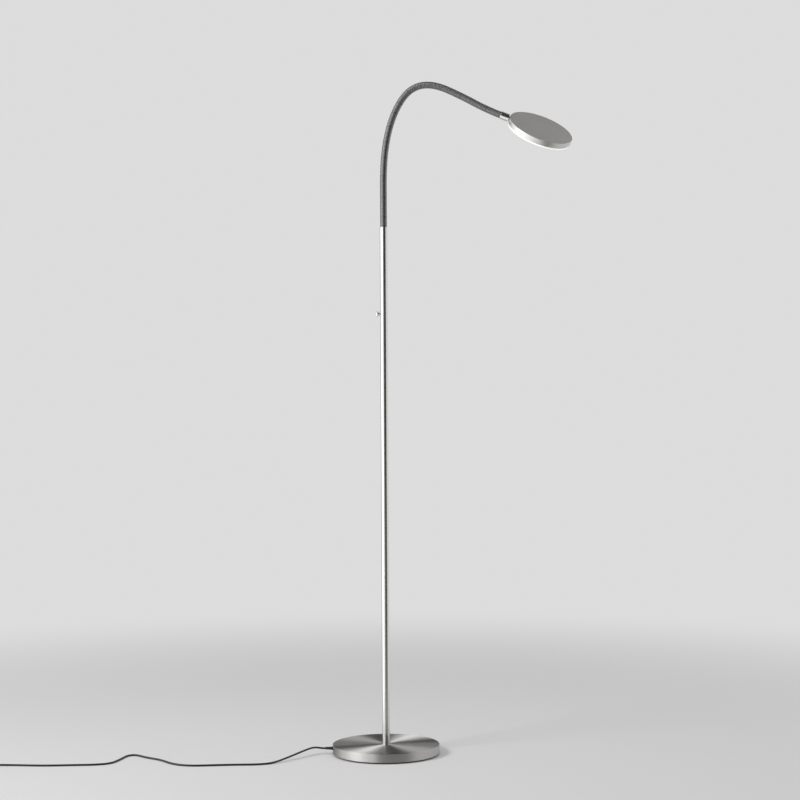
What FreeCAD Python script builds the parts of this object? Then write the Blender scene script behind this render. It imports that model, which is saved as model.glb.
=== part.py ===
import FreeCAD, Part
import math
import os

from FreeCAD import Placement, Rotation, Vector

# A gooseneck reading floor lamp, in millimetres.
# A round weighted base carries a slim pole with a push button, a ribbed bendable neck
# and a flat round head, and the supply cord ends in a plug-in power supply.
# The origin is the centre of the underside, +Z is up, the neck arches over towards +X,
# and the button and the cord are on the -X side.

# ---------------------------------------------------------------- driving sizes

# Fits
PRESS_GAP = 0.05  # radial, between a pressed or threaded piece and its hole
RUNNING_GAP = 0.06  # radial, between a turning or sliding piece and its bearing
LOOSE_GAP = 0.2  # around a lead, and in a clearance hole

# Base
BASE_DIAMETER = 226.0
COVER_HEIGHT = 17.8
COVER_THICKNESS = 1.5
COVER_EDGE_RADIUS = 0.8
PAD_THICKNESS = 3.0
PAD_SETBACK = 8.0
WEIGHT_RIM_GAP = 0.4
POCKET_DIAMETER = 44.0
STUD_DIAMETER = 10.0
STUD_BORE = 6.6
STUD_GRIP = 16.0  # length of the stud inside the pole foot
NUT_ACROSS_FLATS = 17.0
NUT_HEIGHT = 4.0
WASHER_DIAMETER = 28.0
WASHER_THICKNESS = 1.2
THREAD_PROUD = 0.6  # thread that shows past a nut

# Cord anchorage
CLAMP_SETBACK = 43.0  # from the base's rim to the middle of the clamp
CLAMP_LENGTH = 11.6
CLAMP_WIDTH = 21.6
CLAMP_THICKNESS = 1.5
CLAMP_SCREW_DIAMETER = 2.5
CLAMP_SCREW_HEAD_DIAMETER = 4.6
CLAMP_SCREW_LENGTH = 7.0
CLAMP_SCREW_SPACING = 15.0
BUSH_FLANGE_DIAMETER = 8.0
BUSH_FLANGE_THICKNESS = 1.0
BUSH_NECK_DIAMETER = 7.2
BUSH_TAIL_LENGTH = 5.0
BUSH_TIP_DIAMETER = 5.0
BUSH_RELIEF_LENGTH = 15.0

# Pole
POLE_DIAMETER = 16.0
POLE_WALL = 1.2
POLE_LENGTH = 1094.5
FOOT_LENGTH = 22.0

# Switch in the pole
BUTTON_HEIGHT = 930.8
BUTTON_DIAMETER = 11.0
BUTTON_LENGTH = 4.7
BUTTON_PROUD = 8.5  # from the pole's surface to the button's end
BUTTON_ROUND = 1.6
BUTTON_TRAVEL = 1.5
BUTTON_SHAFT_DIAMETER = 4.0
TRAVEL_SPARE = 0.1  # left between the shaft and the switch when pressed home
SPRING_POCKET_DEPTH = 2.2
SPRING_DIAMETER = 6.2
SPRING_WIRE = 0.6
SPRING_TURNS = 3
SPRING_POCKET_GAP = 0.5
BUSHING_DIAMETER = 8.0
COLLAR_DIAMETER = 9.2
COLLAR_PROUD = 2.0
BUSHING_REACH = 4.5  # from the pole's axis to the inner end of the bushing
CLIP_DIAMETER = 6.4
CLIP_THICKNESS = 0.6
CLIP_GROOVE_DEPTH = 0.4
CLIP_END_GAP = 0.2
BOARD_LENGTH = 52.0
BOARD_WIDTH = 10.6
BOARD_THICKNESS = 1.2
SWITCH_SIDE = 6.0
SWITCH_BODY_HEIGHT = 3.4
SWITCH_PLUNGER_DIAMETER = 3.2
SWITCH_PLUNGER_HEIGHT = 0.6
CARRIER_MARGIN = 4.0  # past each end of the board
CONNECTOR_LENGTH = 8.0
CONNECTOR_WIDTH = 7.4
# Components on the board: their extent along the pole and across it, and their height.
BOARD_PARTS = [
    ((6.0, 12.0), (-3.0, 3.0), 1.6),
    ((-13.0, -7.0), (-2.5, 2.5), 2.2),
]

# Neck socket in the pole's top
SOCKET_LENGTH = 24.0
SOCKET_SPIGOT_LENGTH = 22.0
SET_SCREW_DIAMETER = 4.0
SET_SCREW_DROP = 12.0  # below the pole's top
SET_SCREW_SUNK = 0.2
SET_SCREW_SOCKET_DEPTH = 1.2

# Neck
RIB_PITCH = 3.0
RIB_CREST_DIAMETER = 14.8
RIB_ROOT_DIAMETER = 13.0
RIB_CREST_WIDTH = 0.7
RIB_ROOT_WIDTH = 0.4
JOINT_SETBACK = 1.0  # from a joint's centre to the end face of each section
BALL_DIAMETER = 10.4
BALL_STEM_DIAMETER = 8.8
BALL_GAP = 0.3
LEAD_HOLE_DIAMETER = 5.8
LEAD_DIAMETER = 3.6
FERRULE_SPIGOT_DIAMETER = 12.4
FERRULE_SPIGOT_LENGTH = 10.0
# The neck is a chain of short sections, from the pole to the head: the number of ribs
# in each, and the degrees by which it leans further over.
NECK_SECTIONS = [
    (14, 0.0),
    (15, 0.0),
    (14, 3.0),
    (12, 4.5),
    (11, 5.5),
    (11, 7.0),
    (9, 7.5),
    (6, 6.5),
    (5, 9.0),
    (5, 13.0),
    (5, 15.0),
    (5, 15.0),
    (8, 17.5),
    (9, 10.5),
    (20, 4.5),
    (21, -7.0),
]

# Ferrule and swivel
FERRULE_DIAMETER = 16.6
FERRULE_LENGTH = 19.0
FERRULE_END_WALL = 5.0
FERRULE_CHAMFER = 0.5
STEM_DIAMETER = 6.4
STEM_SHOULDER_DIAMETER = 10.0
STEM_SHOULDER_GAP = 0.3
STEM_SHOULDER_WIDTH = 1.2
STEM_TAIL = 3.8  # past the ferrule's end wall, inside the ferrule
STEM_INNER_LENGTH = 9.0  # past the shell's outer face, inside the head
STEM_GROOVE_DEPTH = 0.6
STEM_CLIP_DIAMETER = 10.4
STEM_CLIP_THICKNESS = 1.0
STEM_CLIP_GAP = 0.4
STEM_NUT_ACROSS_FLATS = 8.6
STEM_NUT_HEIGHT = 2.5
STEM_NUT_SEAT_GAP = 0.05
SWIVEL_SCREW_DIAMETER = 3.0

# Head
HEAD_DIAMETER = 140.0
HEAD_ROLL = 29.4  # degrees about the swivel, upper face towards -Y
SHELL_TOP = 6.5  # upper face above the swivel's axis
SHELL_HEIGHT = 11.8
SHELL_PLATE = 1.8
SHELL_WALL = 2.0
SHELL_CHAMFER = 0.5
DIFFUSER_LIP_HEIGHT = 3.6
DIFFUSER_LIP_SETBACK = 1.0
DIFFUSER_PLATE = 2.2
DIFFUSER_SPIGOT_HEIGHT = 5.0
DIFFUSER_SPIGOT_WALL = 1.8
DIFFUSER_ROUND = 1.0
DIFFUSER_SEAT_GAP = 0.05
BOARD_RING_DIAMETER = 112.0
LED_BOARD_THICKNESS = 1.6
LED_SIDE = 3.5
LED_HEIGHT = 0.8
LED_RINGS = [(24.0, 10), (44.0, 18)]  # radius and number of light-emitting chips
BOARD_SCREW_CIRCLE = 102.0
BOARD_SCREW_COUNT = 4
BOARD_SCREW_DIAMETER = 2.5
BOARD_SCREW_HEAD_DIAMETER = 4.6
BOARD_SCREW_HEAD_HEIGHT = 1.5
BOARD_SCREW_GRIP = 1.2  # thread inside the shell's plate
REFLECTOR_WALL = 1.2
REFLECTOR_BOARD_GAP = 0.3
REFLECTOR_RIM_GAP = 0.3
NOTCH_WIDTH = 18.0  # in the diffuser's spigot and the reflector, around the stem's nut
NOTCH_DEPTH = 18.0  # in from the head's rim
TERMINAL_LENGTH = 10.0
TERMINAL_WIDTH = 9.0
TERMINAL_DROP = 5.8  # below the board
TERMINAL_REACH = 40.0  # from the head's centre to the near end of the terminal

# Supply cord
CORD_DIAMETER = 4.0
# Where the cord lies, from the bush to the coil.
CORD_ROUTE = [
    (-129.0, 0.0, 11.9),
    (-137.0, 0.0, 11.9),
    (-148.0, -2.5, 14.4),
    (-159.0, -15.0, 15.3),
    (-178.0, -41.0, 12.3),
    (-206.0, -74.0, 6.5),
    (-232.0, -103.0, 2.05),
    (-262.0, -116.5, 2.05),
    (-312.0, -117.0, 2.05),
    (-360.0, -122.0, 2.05),
    (-402.0, -126.0, 2.05),
    (-438.0, -109.0, 2.05),
    (-469.0, -64.0, 2.05),
    (-495.0, -45.0, 2.05),
    (-511.0, -30.0, 2.05),
    (-525.0, -14.5, 2.05),
    (-535.5, -13.0, 2.05),
    (-544.0, -19.0, 2.05),
    (-549.5, -36.0, 2.05),
    (-556.0, -66.0, 2.05),
    (-568.0, -100.0, 2.05),
    (-600.0, -111.0, 2.05),
    (-640.0, -113.0, 2.05),
    (-682.0, -116.5, 2.05),
    (-720.0, -116.0, 2.05),
    (-762.0, -110.5, 2.05),
    (-802.0, -109.5, 2.4),
    (-826.0, -109.0, 3.5),
    (-848.0, -109.0, 3.5),
]
COIL_MIDDLE_RADIUS = 22.5
COIL_PITCH = 4.5  # from one turn to the next, across and up
COIL_LAYERS = 4
TIE_WIDTH = 5.0
TIE_THICKNESS = 1.0
TIE_GAP = 0.5
# Where the cord lies from the coil to the power supply, from the coil's end.
TAIL_ROUTE = [
    (0.0, 0.0, 0.0),
    (-20.0, 0.0, -0.6),
    (-38.0, -8.0, -3.4),
    (-49.0, -25.0, -5.6),
    (-52.0, -47.0, -5.0),
    (-52.0, -67.0, -5.0),
]

# Plug-in power supply, which lies on the floor
SUPPLY_WIDTH = 40.0
SUPPLY_LENGTH = 62.0
SUPPLY_HEIGHT = 24.0
SUPPLY_WALL = 2.0
SUPPLY_ROUND = 4.0
SUPPLY_BOARD_THICKNESS = 1.6
SUPPLY_BOARD_SIDE_GAP = 0.5
TRANSFORMER_LENGTH = 22.0
TRANSFORMER_WIDTH = 20.0
TRANSFORMER_HEIGHT = 9.5
RELIEF_LENGTH = 24.0
RELIEF_BASE_DIAMETER = 9.0
RELIEF_TIP_DIAMETER = 5.2
RELIEF_ANCHOR_LENGTH = 4.0
RELIEF_ANCHOR_DIAMETER = 6.3
PIN_DIAMETER = 4.0
PIN_LENGTH = 19.0
PIN_SPACING = 18.6
PIN_ROOT_LENGTH = 6.0
PIN_SLEEVE_DIAMETER = 3.8  # insulating sleeve at the root of each pin
PIN_SLEEVE_LENGTH = 10.0
PIN_TIP_ROUND = 1.2

# ---------------------------------------------------------------- derived sizes

POLE_RADIUS = POLE_DIAMETER / 2
POLE_BORE_RADIUS = POLE_RADIUS - POLE_WALL
CORD_RADIUS = CORD_DIAMETER / 2
LEAD_RADIUS = LEAD_DIAMETER / 2
BASE_TOP = PAD_THICKNESS + COVER_HEIGHT
WEIGHT_TOP = BASE_TOP - COVER_THICKNESS
POLE_TOP = BASE_TOP + POLE_LENGTH
CORD_EXIT_HEIGHT = PAD_THICKNESS + COVER_HEIGHT / 2
CLAMP_REACH = BASE_DIAMETER / 2 - CLAMP_SETBACK
HEAD_RADIUS = HEAD_DIAMETER / 2
SHELL_BOTTOM = SHELL_TOP - SHELL_HEIGHT
PLATE_UNDERSIDE = SHELL_TOP - SHELL_PLATE
BOARD_UNDERSIDE = PLATE_UNDERSIDE - LED_BOARD_THICKNESS

UP = Vector(0, 0, 1)
NODES = {}


def record_node(name, *solids):
    """Keep the solids of one named sub-part."""
    NODES[name] = solids[0] if len(solids) == 1 else Part.makeCompound(list(solids))


# ---------------------------------------------------------------- shape helpers


def rod(diameter, low, high):
    """A cylinder on the Z axis between two heights."""
    return Part.makeCylinder(diameter / 2, high - low, Vector(0, 0, low), UP)


def tube(outer, inner, low, high):
    """A hollow cylinder on the Z axis."""
    return rod(outer, low, high).cut(rod(inner, low - 1, high + 1))


def taper(low_diameter, high_diameter, low, high):
    """A cone frustum on the Z axis."""
    return Part.makeCone(low_diameter / 2, high_diameter / 2, high - low, Vector(0, 0, low), UP)


def block(x, y, z):
    """A box from its three (low, high) pairs."""
    return Part.makeBox(x[1] - x[0], y[1] - y[0], z[1] - z[0], Vector(x[0], y[0], z[0]))


def hexagon(across_flats, low, high):
    """A six-sided prism on the Z axis."""
    radius = across_flats / math.sqrt(3)
    corners = [
        Vector(radius * math.cos(math.radians(60 * k)), radius * math.sin(math.radians(60 * k)), low)
        for k in range(7)
    ]
    return Part.Face(Part.makePolygon(corners)).extrude(Vector(0, 0, high - low))


def circular_edges(shape, diameter, height):
    """The round edges of one diameter that lie level at one height."""
    return [
        edge
        for edge in shape.Edges
        if isinstance(edge.Curve, Part.Circle)
        and abs(edge.Curve.Radius - diameter / 2) < 1e-6
        and abs(edge.BoundBox.ZMin - height) < 1e-4
        and abs(edge.BoundBox.ZMax - height) < 1e-4
    ]


def placed(shape, placement):
    """A copy of a shape that is carried to a placement."""
    copy = shape.copy()
    copy.Placement = placement.multiply(copy.Placement)
    return copy


# ---------------------------------------------------------------- cords and leads


def rounded_route(points, radii=None):
    """Straight runs joined by tangent arcs, and the radius of each arc.

    Without given radii, an arc is as large as its two runs allow.
    """
    share = 0.45
    edges = []
    used = []
    start = points[0]
    for index, (before, corner, after) in enumerate(zip(points, points[1:], points[2:])):
        back = (before - corner).normalize()
        ahead = (after - corner).normalize()
        half_turn = (math.pi - back.getAngle(ahead)) / 2
        if radii:
            radius = radii[index]
        else:
            shorter = min(before.distanceToPoint(corner), after.distanceToPoint(corner))
            radius = share * shorter / math.tan(half_turn)
        setback = radius * math.tan(half_turn)
        inside = (back + ahead).normalize() * (radius / math.cos(half_turn) - radius)
        arc_start = corner + back * setback
        arc_end = corner + ahead * setback
        edges.append(Part.LineSegment(start, arc_start).toShape())
        edges.append(Part.Arc(arc_start, corner + inside, arc_end).toShape())
        start = arc_end
        used.append(radius)
    edges.append(Part.LineSegment(start, points[-1]).toShape())
    return Part.Wire(edges), used


def swept_tube(path, diameter):
    """A round tube along a smooth wire."""
    first = path.OrderedEdges[0]
    start = first.valueAt(first.FirstParameter)
    heading = first.tangentAt(first.FirstParameter)
    section = Part.Wire(Part.makeCircle(diameter / 2, start, heading))
    return path.makePipeShell([section], True, False)


def check_tube(name, solid, path, diameter, radii=()):
    """Print how a tube's volume compares with section times length, and its arcs."""
    ratio = solid.Volume / (math.pi * diameter**2 / 4 * path.Length)
    print(f"{name}: length {path.Length:.1f}, volume ratio {ratio:.4f}, valid {solid.isValid()}")
    if radii:
        print(f"  arc radii {' '.join(f'{r:.0f}' for r in radii)}, least {min(radii):.1f}")


# ---------------------------------------------------------------- base


def cord_side(shape):
    """Turn a piece built up along +Z so that it points out of the base along -X."""
    return placed(shape, Placement(Vector(0, 0, CORD_EXIT_HEIGHT), Rotation(Vector(0, 1, 0), -90)))


def base_cover():
    """The spun cap that covers the weight."""
    inner = BASE_DIAMETER - 2 * COVER_THICKNESS
    cover = rod(BASE_DIAMETER, PAD_THICKNESS, BASE_TOP)
    cover = cover.makeFillet(COVER_EDGE_RADIUS, circular_edges(cover, BASE_DIAMETER, BASE_TOP))
    cover = cover.cut(rod(inner, PAD_THICKNESS - 1, WEIGHT_TOP))
    cover = cover.cut(rod(STUD_DIAMETER + 2 * LOOSE_GAP, WEIGHT_TOP - 1, BASE_TOP + 1))
    hole = rod(BUSH_NECK_DIAMETER + 2 * PRESS_GAP, BASE_DIAMETER / 2 - 5, BASE_DIAMETER / 2 + 1)
    return cover.cut(cord_side(hole))


def stud_levels():
    """Heights of the stud's lower end, the nut, the washer and the web above them."""
    low_lead_top = low_lead_height() + CORD_RADIUS
    stud_end = low_lead_top + LOOSE_GAP
    nut_low = stud_end + THREAD_PROUD
    washer_low = nut_low + NUT_HEIGHT
    web_low = washer_low + WASHER_THICKNESS
    return stud_end, nut_low, washer_low, web_low


def low_lead_height():
    """Centre height of the lead where it runs under the stud."""
    return PAD_THICKNESS + PRESS_GAP + CORD_RADIUS + PRESS_GAP


def slot_width():
    """Width of the slot that the lead lies in."""
    return CORD_DIAMETER + 10 * LOOSE_GAP


def base_weight():
    """The iron disc, with a pocket for the nut and a slot for the lead."""
    radius = BASE_DIAMETER / 2 - COVER_THICKNESS - WEIGHT_RIM_GAP
    web_low = stud_levels()[3]
    half_slot = slot_width() / 2
    slot_top = CORD_EXIT_HEIGHT + CORD_RADIUS + 3 * LOOSE_GAP
    weight = rod(2 * radius, PAD_THICKNESS, WEIGHT_TOP)
    weight = weight.cut(rod(POCKET_DIAMETER, PAD_THICKNESS - 1, web_low))
    weight = weight.cut(rod(STUD_DIAMETER + 2 * LOOSE_GAP, PAD_THICKNESS, WEIGHT_TOP + 1))
    weight = weight.cut(block((-radius - 1, 0), (-half_slot, half_slot), (PAD_THICKNESS - 1, slot_top)))
    tail = rod(BUSH_NECK_DIAMETER + 2 * LOOSE_GAP, radius - BUSH_TAIL_LENGTH - LOOSE_GAP, radius + 1)
    weight = weight.cut(cord_side(tail))
    weight = weight.cut(clamp_plate(LOOSE_GAP))
    for screw in clamp_screw_rods(PRESS_GAP):
        weight = weight.cut(screw)
    return weight


def clamp_plate(margin=0.0):
    """The flat of the cord clamp, or the recess that it lies in."""
    half_length = CLAMP_LENGTH / 2 + margin
    half_width = CLAMP_WIDTH / 2 + margin
    x = (-CLAMP_REACH - half_length, -CLAMP_REACH + half_length)
    low = PAD_THICKNESS if margin == 0.0 else PAD_THICKNESS - 1
    return block(x, (-half_width, half_width), (low, PAD_THICKNESS + CLAMP_THICKNESS))


def clamp_screw_rods(margin=0.0):
    """The two threads that hold the clamp, or the holes for them."""
    low = PAD_THICKNESS + CLAMP_THICKNESS / 3
    rods = []
    for side in (-1, 1):
        screw = rod(CLAMP_SCREW_DIAMETER + 2 * margin, low, low + CLAMP_SCREW_LENGTH + margin)
        screw.translate(Vector(-CLAMP_REACH, side * CLAMP_SCREW_SPACING / 2, 0))
        rods.append(screw)
    return rods


def cord_clamp():
    """A bar with a tongue that presses the lead up into its slot."""
    half_tongue = slot_width() / 2 - LOOSE_GAP
    half_length = CLAMP_LENGTH / 2
    x = (-CLAMP_REACH - half_length, -CLAMP_REACH + half_length)
    tongue_top = CORD_EXIT_HEIGHT - CORD_RADIUS
    clamp = clamp_plate().fuse(block(x, (-half_tongue, half_tongue), (PAD_THICKNESS, tongue_top)))
    for screw in clamp_screw_rods(LOOSE_GAP):
        clamp = clamp.cut(screw)
    for screw in clamp_screw_rods():
        head = rod(CLAMP_SCREW_HEAD_DIAMETER, PAD_THICKNESS - 1, PAD_THICKNESS + CLAMP_THICKNESS / 2)
        head.translate(Vector(screw.CenterOfMass.x, screw.CenterOfMass.y, 0))
        clamp = clamp.cut(head)
    return clamp.removeSplitter()


def clamp_screws():
    """Two screws, sunk level with the underside of the clamp."""
    screws = []
    for shank in clamp_screw_rods():
        head = rod(
            CLAMP_SCREW_HEAD_DIAMETER - 2 * LOOSE_GAP,
            PAD_THICKNESS + PRESS_GAP,
            PAD_THICKNESS + CLAMP_THICKNESS / 2,
        )
        head.translate(Vector(shank.CenterOfMass.x, shank.CenterOfMass.y, 0))
        screws.append(head.fuse(shank))
    return screws


def cord_bush():
    """The tapered bush that carries the cord out of the base."""
    wall_face = BASE_DIAMETER / 2
    weight_face = wall_face - COVER_THICKNESS - WEIGHT_RIM_GAP
    flange_top = wall_face + BUSH_FLANGE_THICKNESS
    bush = rod(BUSH_NECK_DIAMETER, weight_face - BUSH_TAIL_LENGTH, flange_top)
    bush = bush.fuse(rod(BUSH_FLANGE_DIAMETER, wall_face, flange_top))
    bush = bush.fuse(taper(BUSH_NECK_DIAMETER, BUSH_TIP_DIAMETER, flange_top, bush_tip()))
    bore = rod(CORD_DIAMETER + 2 * PRESS_GAP, wall_face - 20, bush_tip() + 1)
    return cord_side(bush.cut(bore).removeSplitter())


def bush_tip():
    """Distance from the pole's axis to the tip of the cord bush."""
    return BASE_DIAMETER / 2 + BUSH_FLANGE_THICKNESS + BUSH_RELIEF_LENGTH


def make_base():
    """The base, from the pad on the floor to the foot of the pole."""
    stud_end, nut_low, washer_low, web_low = stud_levels()
    record_node("base_cover", base_cover())
    record_node("base_weight", base_weight())
    record_node("base_pad", rod(BASE_DIAMETER - 2 * PAD_SETBACK, 0, PAD_THICKNESS))
    record_node("foot_stud", tube(STUD_DIAMETER, STUD_BORE, stud_end, BASE_TOP + STUD_GRIP))
    nut = hexagon(NUT_ACROSS_FLATS, nut_low, washer_low)
    nut = nut.cut(rod(STUD_DIAMETER + 2 * PRESS_GAP, nut_low - 1, washer_low + 1))
    record_node("foot_nut", nut)
    washer = tube(WASHER_DIAMETER, STUD_DIAMETER + 2 * LOOSE_GAP, washer_low, web_low)
    record_node("foot_washer", washer)
    record_node("cord_clamp", cord_clamp())
    record_node("clamp_screws", *clamp_screws())
    record_node("cord_bush", cord_bush())


# ---------------------------------------------------------------- pole and switch


def button_side(shape):
    """Turn a piece built up along +Z so that it points out of the pole along -X."""
    return placed(shape, Placement(Vector(0, 0, BUTTON_HEIGHT), Rotation(Vector(0, 1, 0), -90)))


def set_screw_side(shape):
    """Turn a piece built up along +Z so that it points out of the pole along +Y."""
    height = POLE_TOP - SET_SCREW_DROP
    return placed(shape, Placement(Vector(0, 0, height), Rotation(Vector(1, 0, 0), -90)))


def pole():
    """The tube, with holes for the button and the set screw."""
    shape = tube(POLE_DIAMETER, 2 * POLE_BORE_RADIUS, BASE_TOP, POLE_TOP)
    shape = shape.cut(button_side(rod(BUSHING_DIAMETER + 2 * PRESS_GAP, 0, POLE_DIAMETER)))
    return shape.cut(set_screw_side(rod(SET_SCREW_DIAMETER + 2 * LOOSE_GAP, 0, POLE_DIAMETER)))


def plunger_top():
    """Distance from the pole's axis to the top of the switch's plunger."""
    return shaft_tip() - BUTTON_TRAVEL - TRAVEL_SPARE


def shaft_tip():
    """Distance from the pole's axis to the inner end of the button's shaft."""
    return BUSHING_REACH - CLIP_END_GAP - CLIP_THICKNESS - CLIP_GROOVE_DEPTH


def button_levels():
    """Distances from the pole's axis to the collar, the button's back and its end."""
    collar_face = POLE_RADIUS + COLLAR_PROUD
    end = POLE_RADIUS + BUTTON_PROUD
    return collar_face, end - BUTTON_LENGTH, end


def button_bush():
    """The bushing pressed into the pole, which guides the button."""
    collar_face = button_levels()[0]
    bush = rod(BUSHING_DIAMETER, BUSHING_REACH, collar_face)
    collar = rod(COLLAR_DIAMETER, POLE_RADIUS / 2, collar_face)
    pole_start = Vector(-POLE_RADIUS, 0, 0)
    pole_body = Part.makeCylinder(POLE_RADIUS, POLE_DIAMETER, pole_start, Vector(1, 0, 0))
    bush = bush.fuse(collar.cut(pole_body))
    bush = bush.cut(rod(BUTTON_SHAFT_DIAMETER + 2 * RUNNING_GAP, 0, POLE_DIAMETER))
    return button_side(bush.removeSplitter())


def switch_button():
    """The push button with its shaft."""
    _, back, end = button_levels()
    cap = rod(BUTTON_DIAMETER, back, end)
    cap = cap.makeFillet(BUTTON_ROUND, circular_edges(cap, BUTTON_DIAMETER, end))
    pocket_diameter = SPRING_DIAMETER + SPRING_WIRE + 2 * SPRING_POCKET_GAP
    cap = cap.cut(rod(pocket_diameter, back - 1, back + SPRING_POCKET_DEPTH))
    button = cap.fuse(rod(BUTTON_SHAFT_DIAMETER, shaft_tip(), end - BUTTON_ROUND))
    groove_low = shaft_tip() + CLIP_GROOVE_DEPTH
    groove = tube(
        BUTTON_SHAFT_DIAMETER + 2,
        BUTTON_SHAFT_DIAMETER - 2 * CLIP_GROOVE_DEPTH,
        groove_low,
        groove_low + CLIP_THICKNESS,
    )
    return button_side(button.cut(groove).removeSplitter())


def button_clip():
    """The spring clip that keeps the button in its bushing."""
    low = shaft_tip() + CLIP_GROOVE_DEPTH
    bore = BUTTON_SHAFT_DIAMETER - 2 * CLIP_GROOVE_DEPTH + 2 * PRESS_GAP
    clip = tube(CLIP_DIAMETER, bore, low + PRESS_GAP, low + CLIP_THICKNESS - PRESS_GAP)
    return button_side(clip)


def button_spring():
    """The helical spring, made of half turns that rise with level ends."""
    collar_face, back, _ = button_levels()
    low = collar_face + SPRING_WIRE / 2
    high = back + SPRING_POCKET_DEPTH - SPRING_WIRE / 2
    rise = (high - low) / (2 * SPRING_TURNS)
    radius = SPRING_DIAMETER / 2
    edges = []
    for half in range(2 * SPRING_TURNS):
        side = 1 if half % 2 == 0 else -1
        height = low + half * rise
        start = Vector(0, side * radius, height)
        end = Vector(0, -side * radius, height + rise)
        bulge = math.hypot(radius, rise / 2)
        edges.append(Part.Arc(start, Vector(-side * bulge, 0, height + rise / 2), end).toShape())
    return button_side(swept_tube(Part.Wire(edges), SPRING_WIRE))


def switch_stack():
    """Distances from the pole's axis to the board's faces, negative away from the button."""
    board_face = plunger_top() - SWITCH_PLUNGER_HEIGHT - SWITCH_BODY_HEIGHT
    return board_face - BOARD_THICKNESS, board_face


def switch_board():
    """The dimmer board with a connector at each end."""
    back, face = switch_stack()
    half_length = BOARD_LENGTH / 2
    half_width = BOARD_WIDTH / 2
    board = block((-half_length, half_length), (-half_width, half_width), (back, face))
    connector_height = CORD_RADIUS
    for side in (-1, 1):
        ends = sorted((side * half_length, side * (half_length - CONNECTOR_LENGTH)))
        across = (-CONNECTOR_WIDTH / 2, CONNECTOR_WIDTH / 2)
        board = board.fuse(block(ends, across, (face, connector_height)))
    for along, across, height in BOARD_PARTS:
        board = board.fuse(block(along, across, (face, face + height)))
    return button_side(board.removeSplitter())


def push_switch():
    """The small switch that the button's shaft presses."""
    face = switch_stack()[1]
    half = SWITCH_SIDE / 2
    body_top = face + SWITCH_BODY_HEIGHT
    body = block((-half, half), (-half, half), (face, body_top))
    plunger = rod(SWITCH_PLUNGER_DIAMETER, body_top, plunger_top())
    return button_side(body.fuse(plunger).removeSplitter())


def board_carrier():
    """The half-round tray that holds the board in the pole."""
    back = switch_stack()[0]
    half_length = BOARD_LENGTH / 2 + CARRIER_MARGIN
    radius = POLE_BORE_RADIUS - 2 * PRESS_GAP
    shape = Part.makeCylinder(radius, 2 * half_length, Vector(-half_length, 0, 0), Vector(1, 0, 0))
    above = block((-half_length - 1, half_length + 1), (-radius, radius), (back, radius + 1))
    return button_side(shape.cut(above))


def neck_socket():
    """The sleeve in the pole's top that holds the neck."""
    bore = BALL_DIAMETER + 4 * PRESS_GAP
    outer = 2 * (POLE_BORE_RADIUS - PRESS_GAP)
    socket = tube(outer, bore, POLE_TOP - SOCKET_LENGTH, POLE_TOP)
    return socket.cut(set_screw_side(rod(SET_SCREW_DIAMETER + 2 * PRESS_GAP, 0, POLE_DIAMETER)))


def neck_set_screw():
    """The headless screw at the back of the pole that locks the neck."""
    inner_end = BALL_DIAMETER / 2 + PRESS_GAP
    outer_end = POLE_RADIUS - SET_SCREW_SUNK
    screw = rod(SET_SCREW_DIAMETER, inner_end, outer_end)
    socket = hexagon(SET_SCREW_DIAMETER / 2, outer_end - SET_SCREW_SOCKET_DEPTH, outer_end + 1)
    return set_screw_side(screw.cut(socket))


def pole_lead():
    """The supply lead, from the bush's tip to the switch board."""
    low = low_lead_height()
    points = [
        Vector(-bush_tip(), 0, CORD_EXIT_HEIGHT),
        Vector(-CLAMP_REACH / 2 - POCKET_DIAMETER / 4, 0, CORD_EXIT_HEIGHT),
        Vector(-POCKET_DIAMETER / 2, 0, low),
        Vector(0, 0, low),
        Vector(0, 0, BUTTON_HEIGHT - BOARD_LENGTH / 2),
    ]
    path, radii = rounded_route(points, [60.0, 40.0, CORD_DIAMETER])
    lead = swept_tube(path, CORD_DIAMETER)
    check_tube("pole_lead", lead, path, CORD_DIAMETER, radii)
    return lead


def pole_foot():
    """The plug in the pole's lower end, which the stud screws into."""
    outer = 2 * (POLE_BORE_RADIUS - PRESS_GAP)
    return tube(outer, STUD_DIAMETER + 2 * PRESS_GAP, BASE_TOP, BASE_TOP + FOOT_LENGTH)


def make_pole():
    """The pole and what it holds."""
    record_node("pole", pole())
    record_node("pole_foot", pole_foot())
    record_node("pole_lead", pole_lead())
    record_node("board_carrier", board_carrier())
    record_node("switch_board", switch_board())
    record_node("push_switch", push_switch())
    record_node("button_bush", button_bush())
    record_node("switch_button", switch_button())
    record_node("button_clip", button_clip())
    record_node("button_spring", button_spring())
    record_node("neck_socket", neck_socket())
    record_node("neck_set_screw", neck_set_screw())


# ---------------------------------------------------------------- neck


def arc_frame(length, turn, distance):
    """Where a section's centreline is at some distance along it, in its own frame."""
    if abs(turn) < 1e-9:
        return Placement(Vector(0, 0, distance), Rotation())
    radius = length / math.radians(turn)
    angle = turn * distance / length
    lean = math.radians(angle)
    point = Vector(radius * (1 - math.cos(lean)), 0, radius * math.sin(lean))
    return Placement(point, Rotation(Vector(0, 1, 0), angle))


def section_frames():
    """The frame at the lower end of each section, and the one at the neck's end."""
    frames = [Placement(Vector(0, 0, POLE_TOP), Rotation())]
    for ribs, turn in NECK_SECTIONS:
        length = ribs * RIB_PITCH
        frames.append(frames[-1].multiply(arc_frame(length, turn, length)))
    return frames


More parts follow.
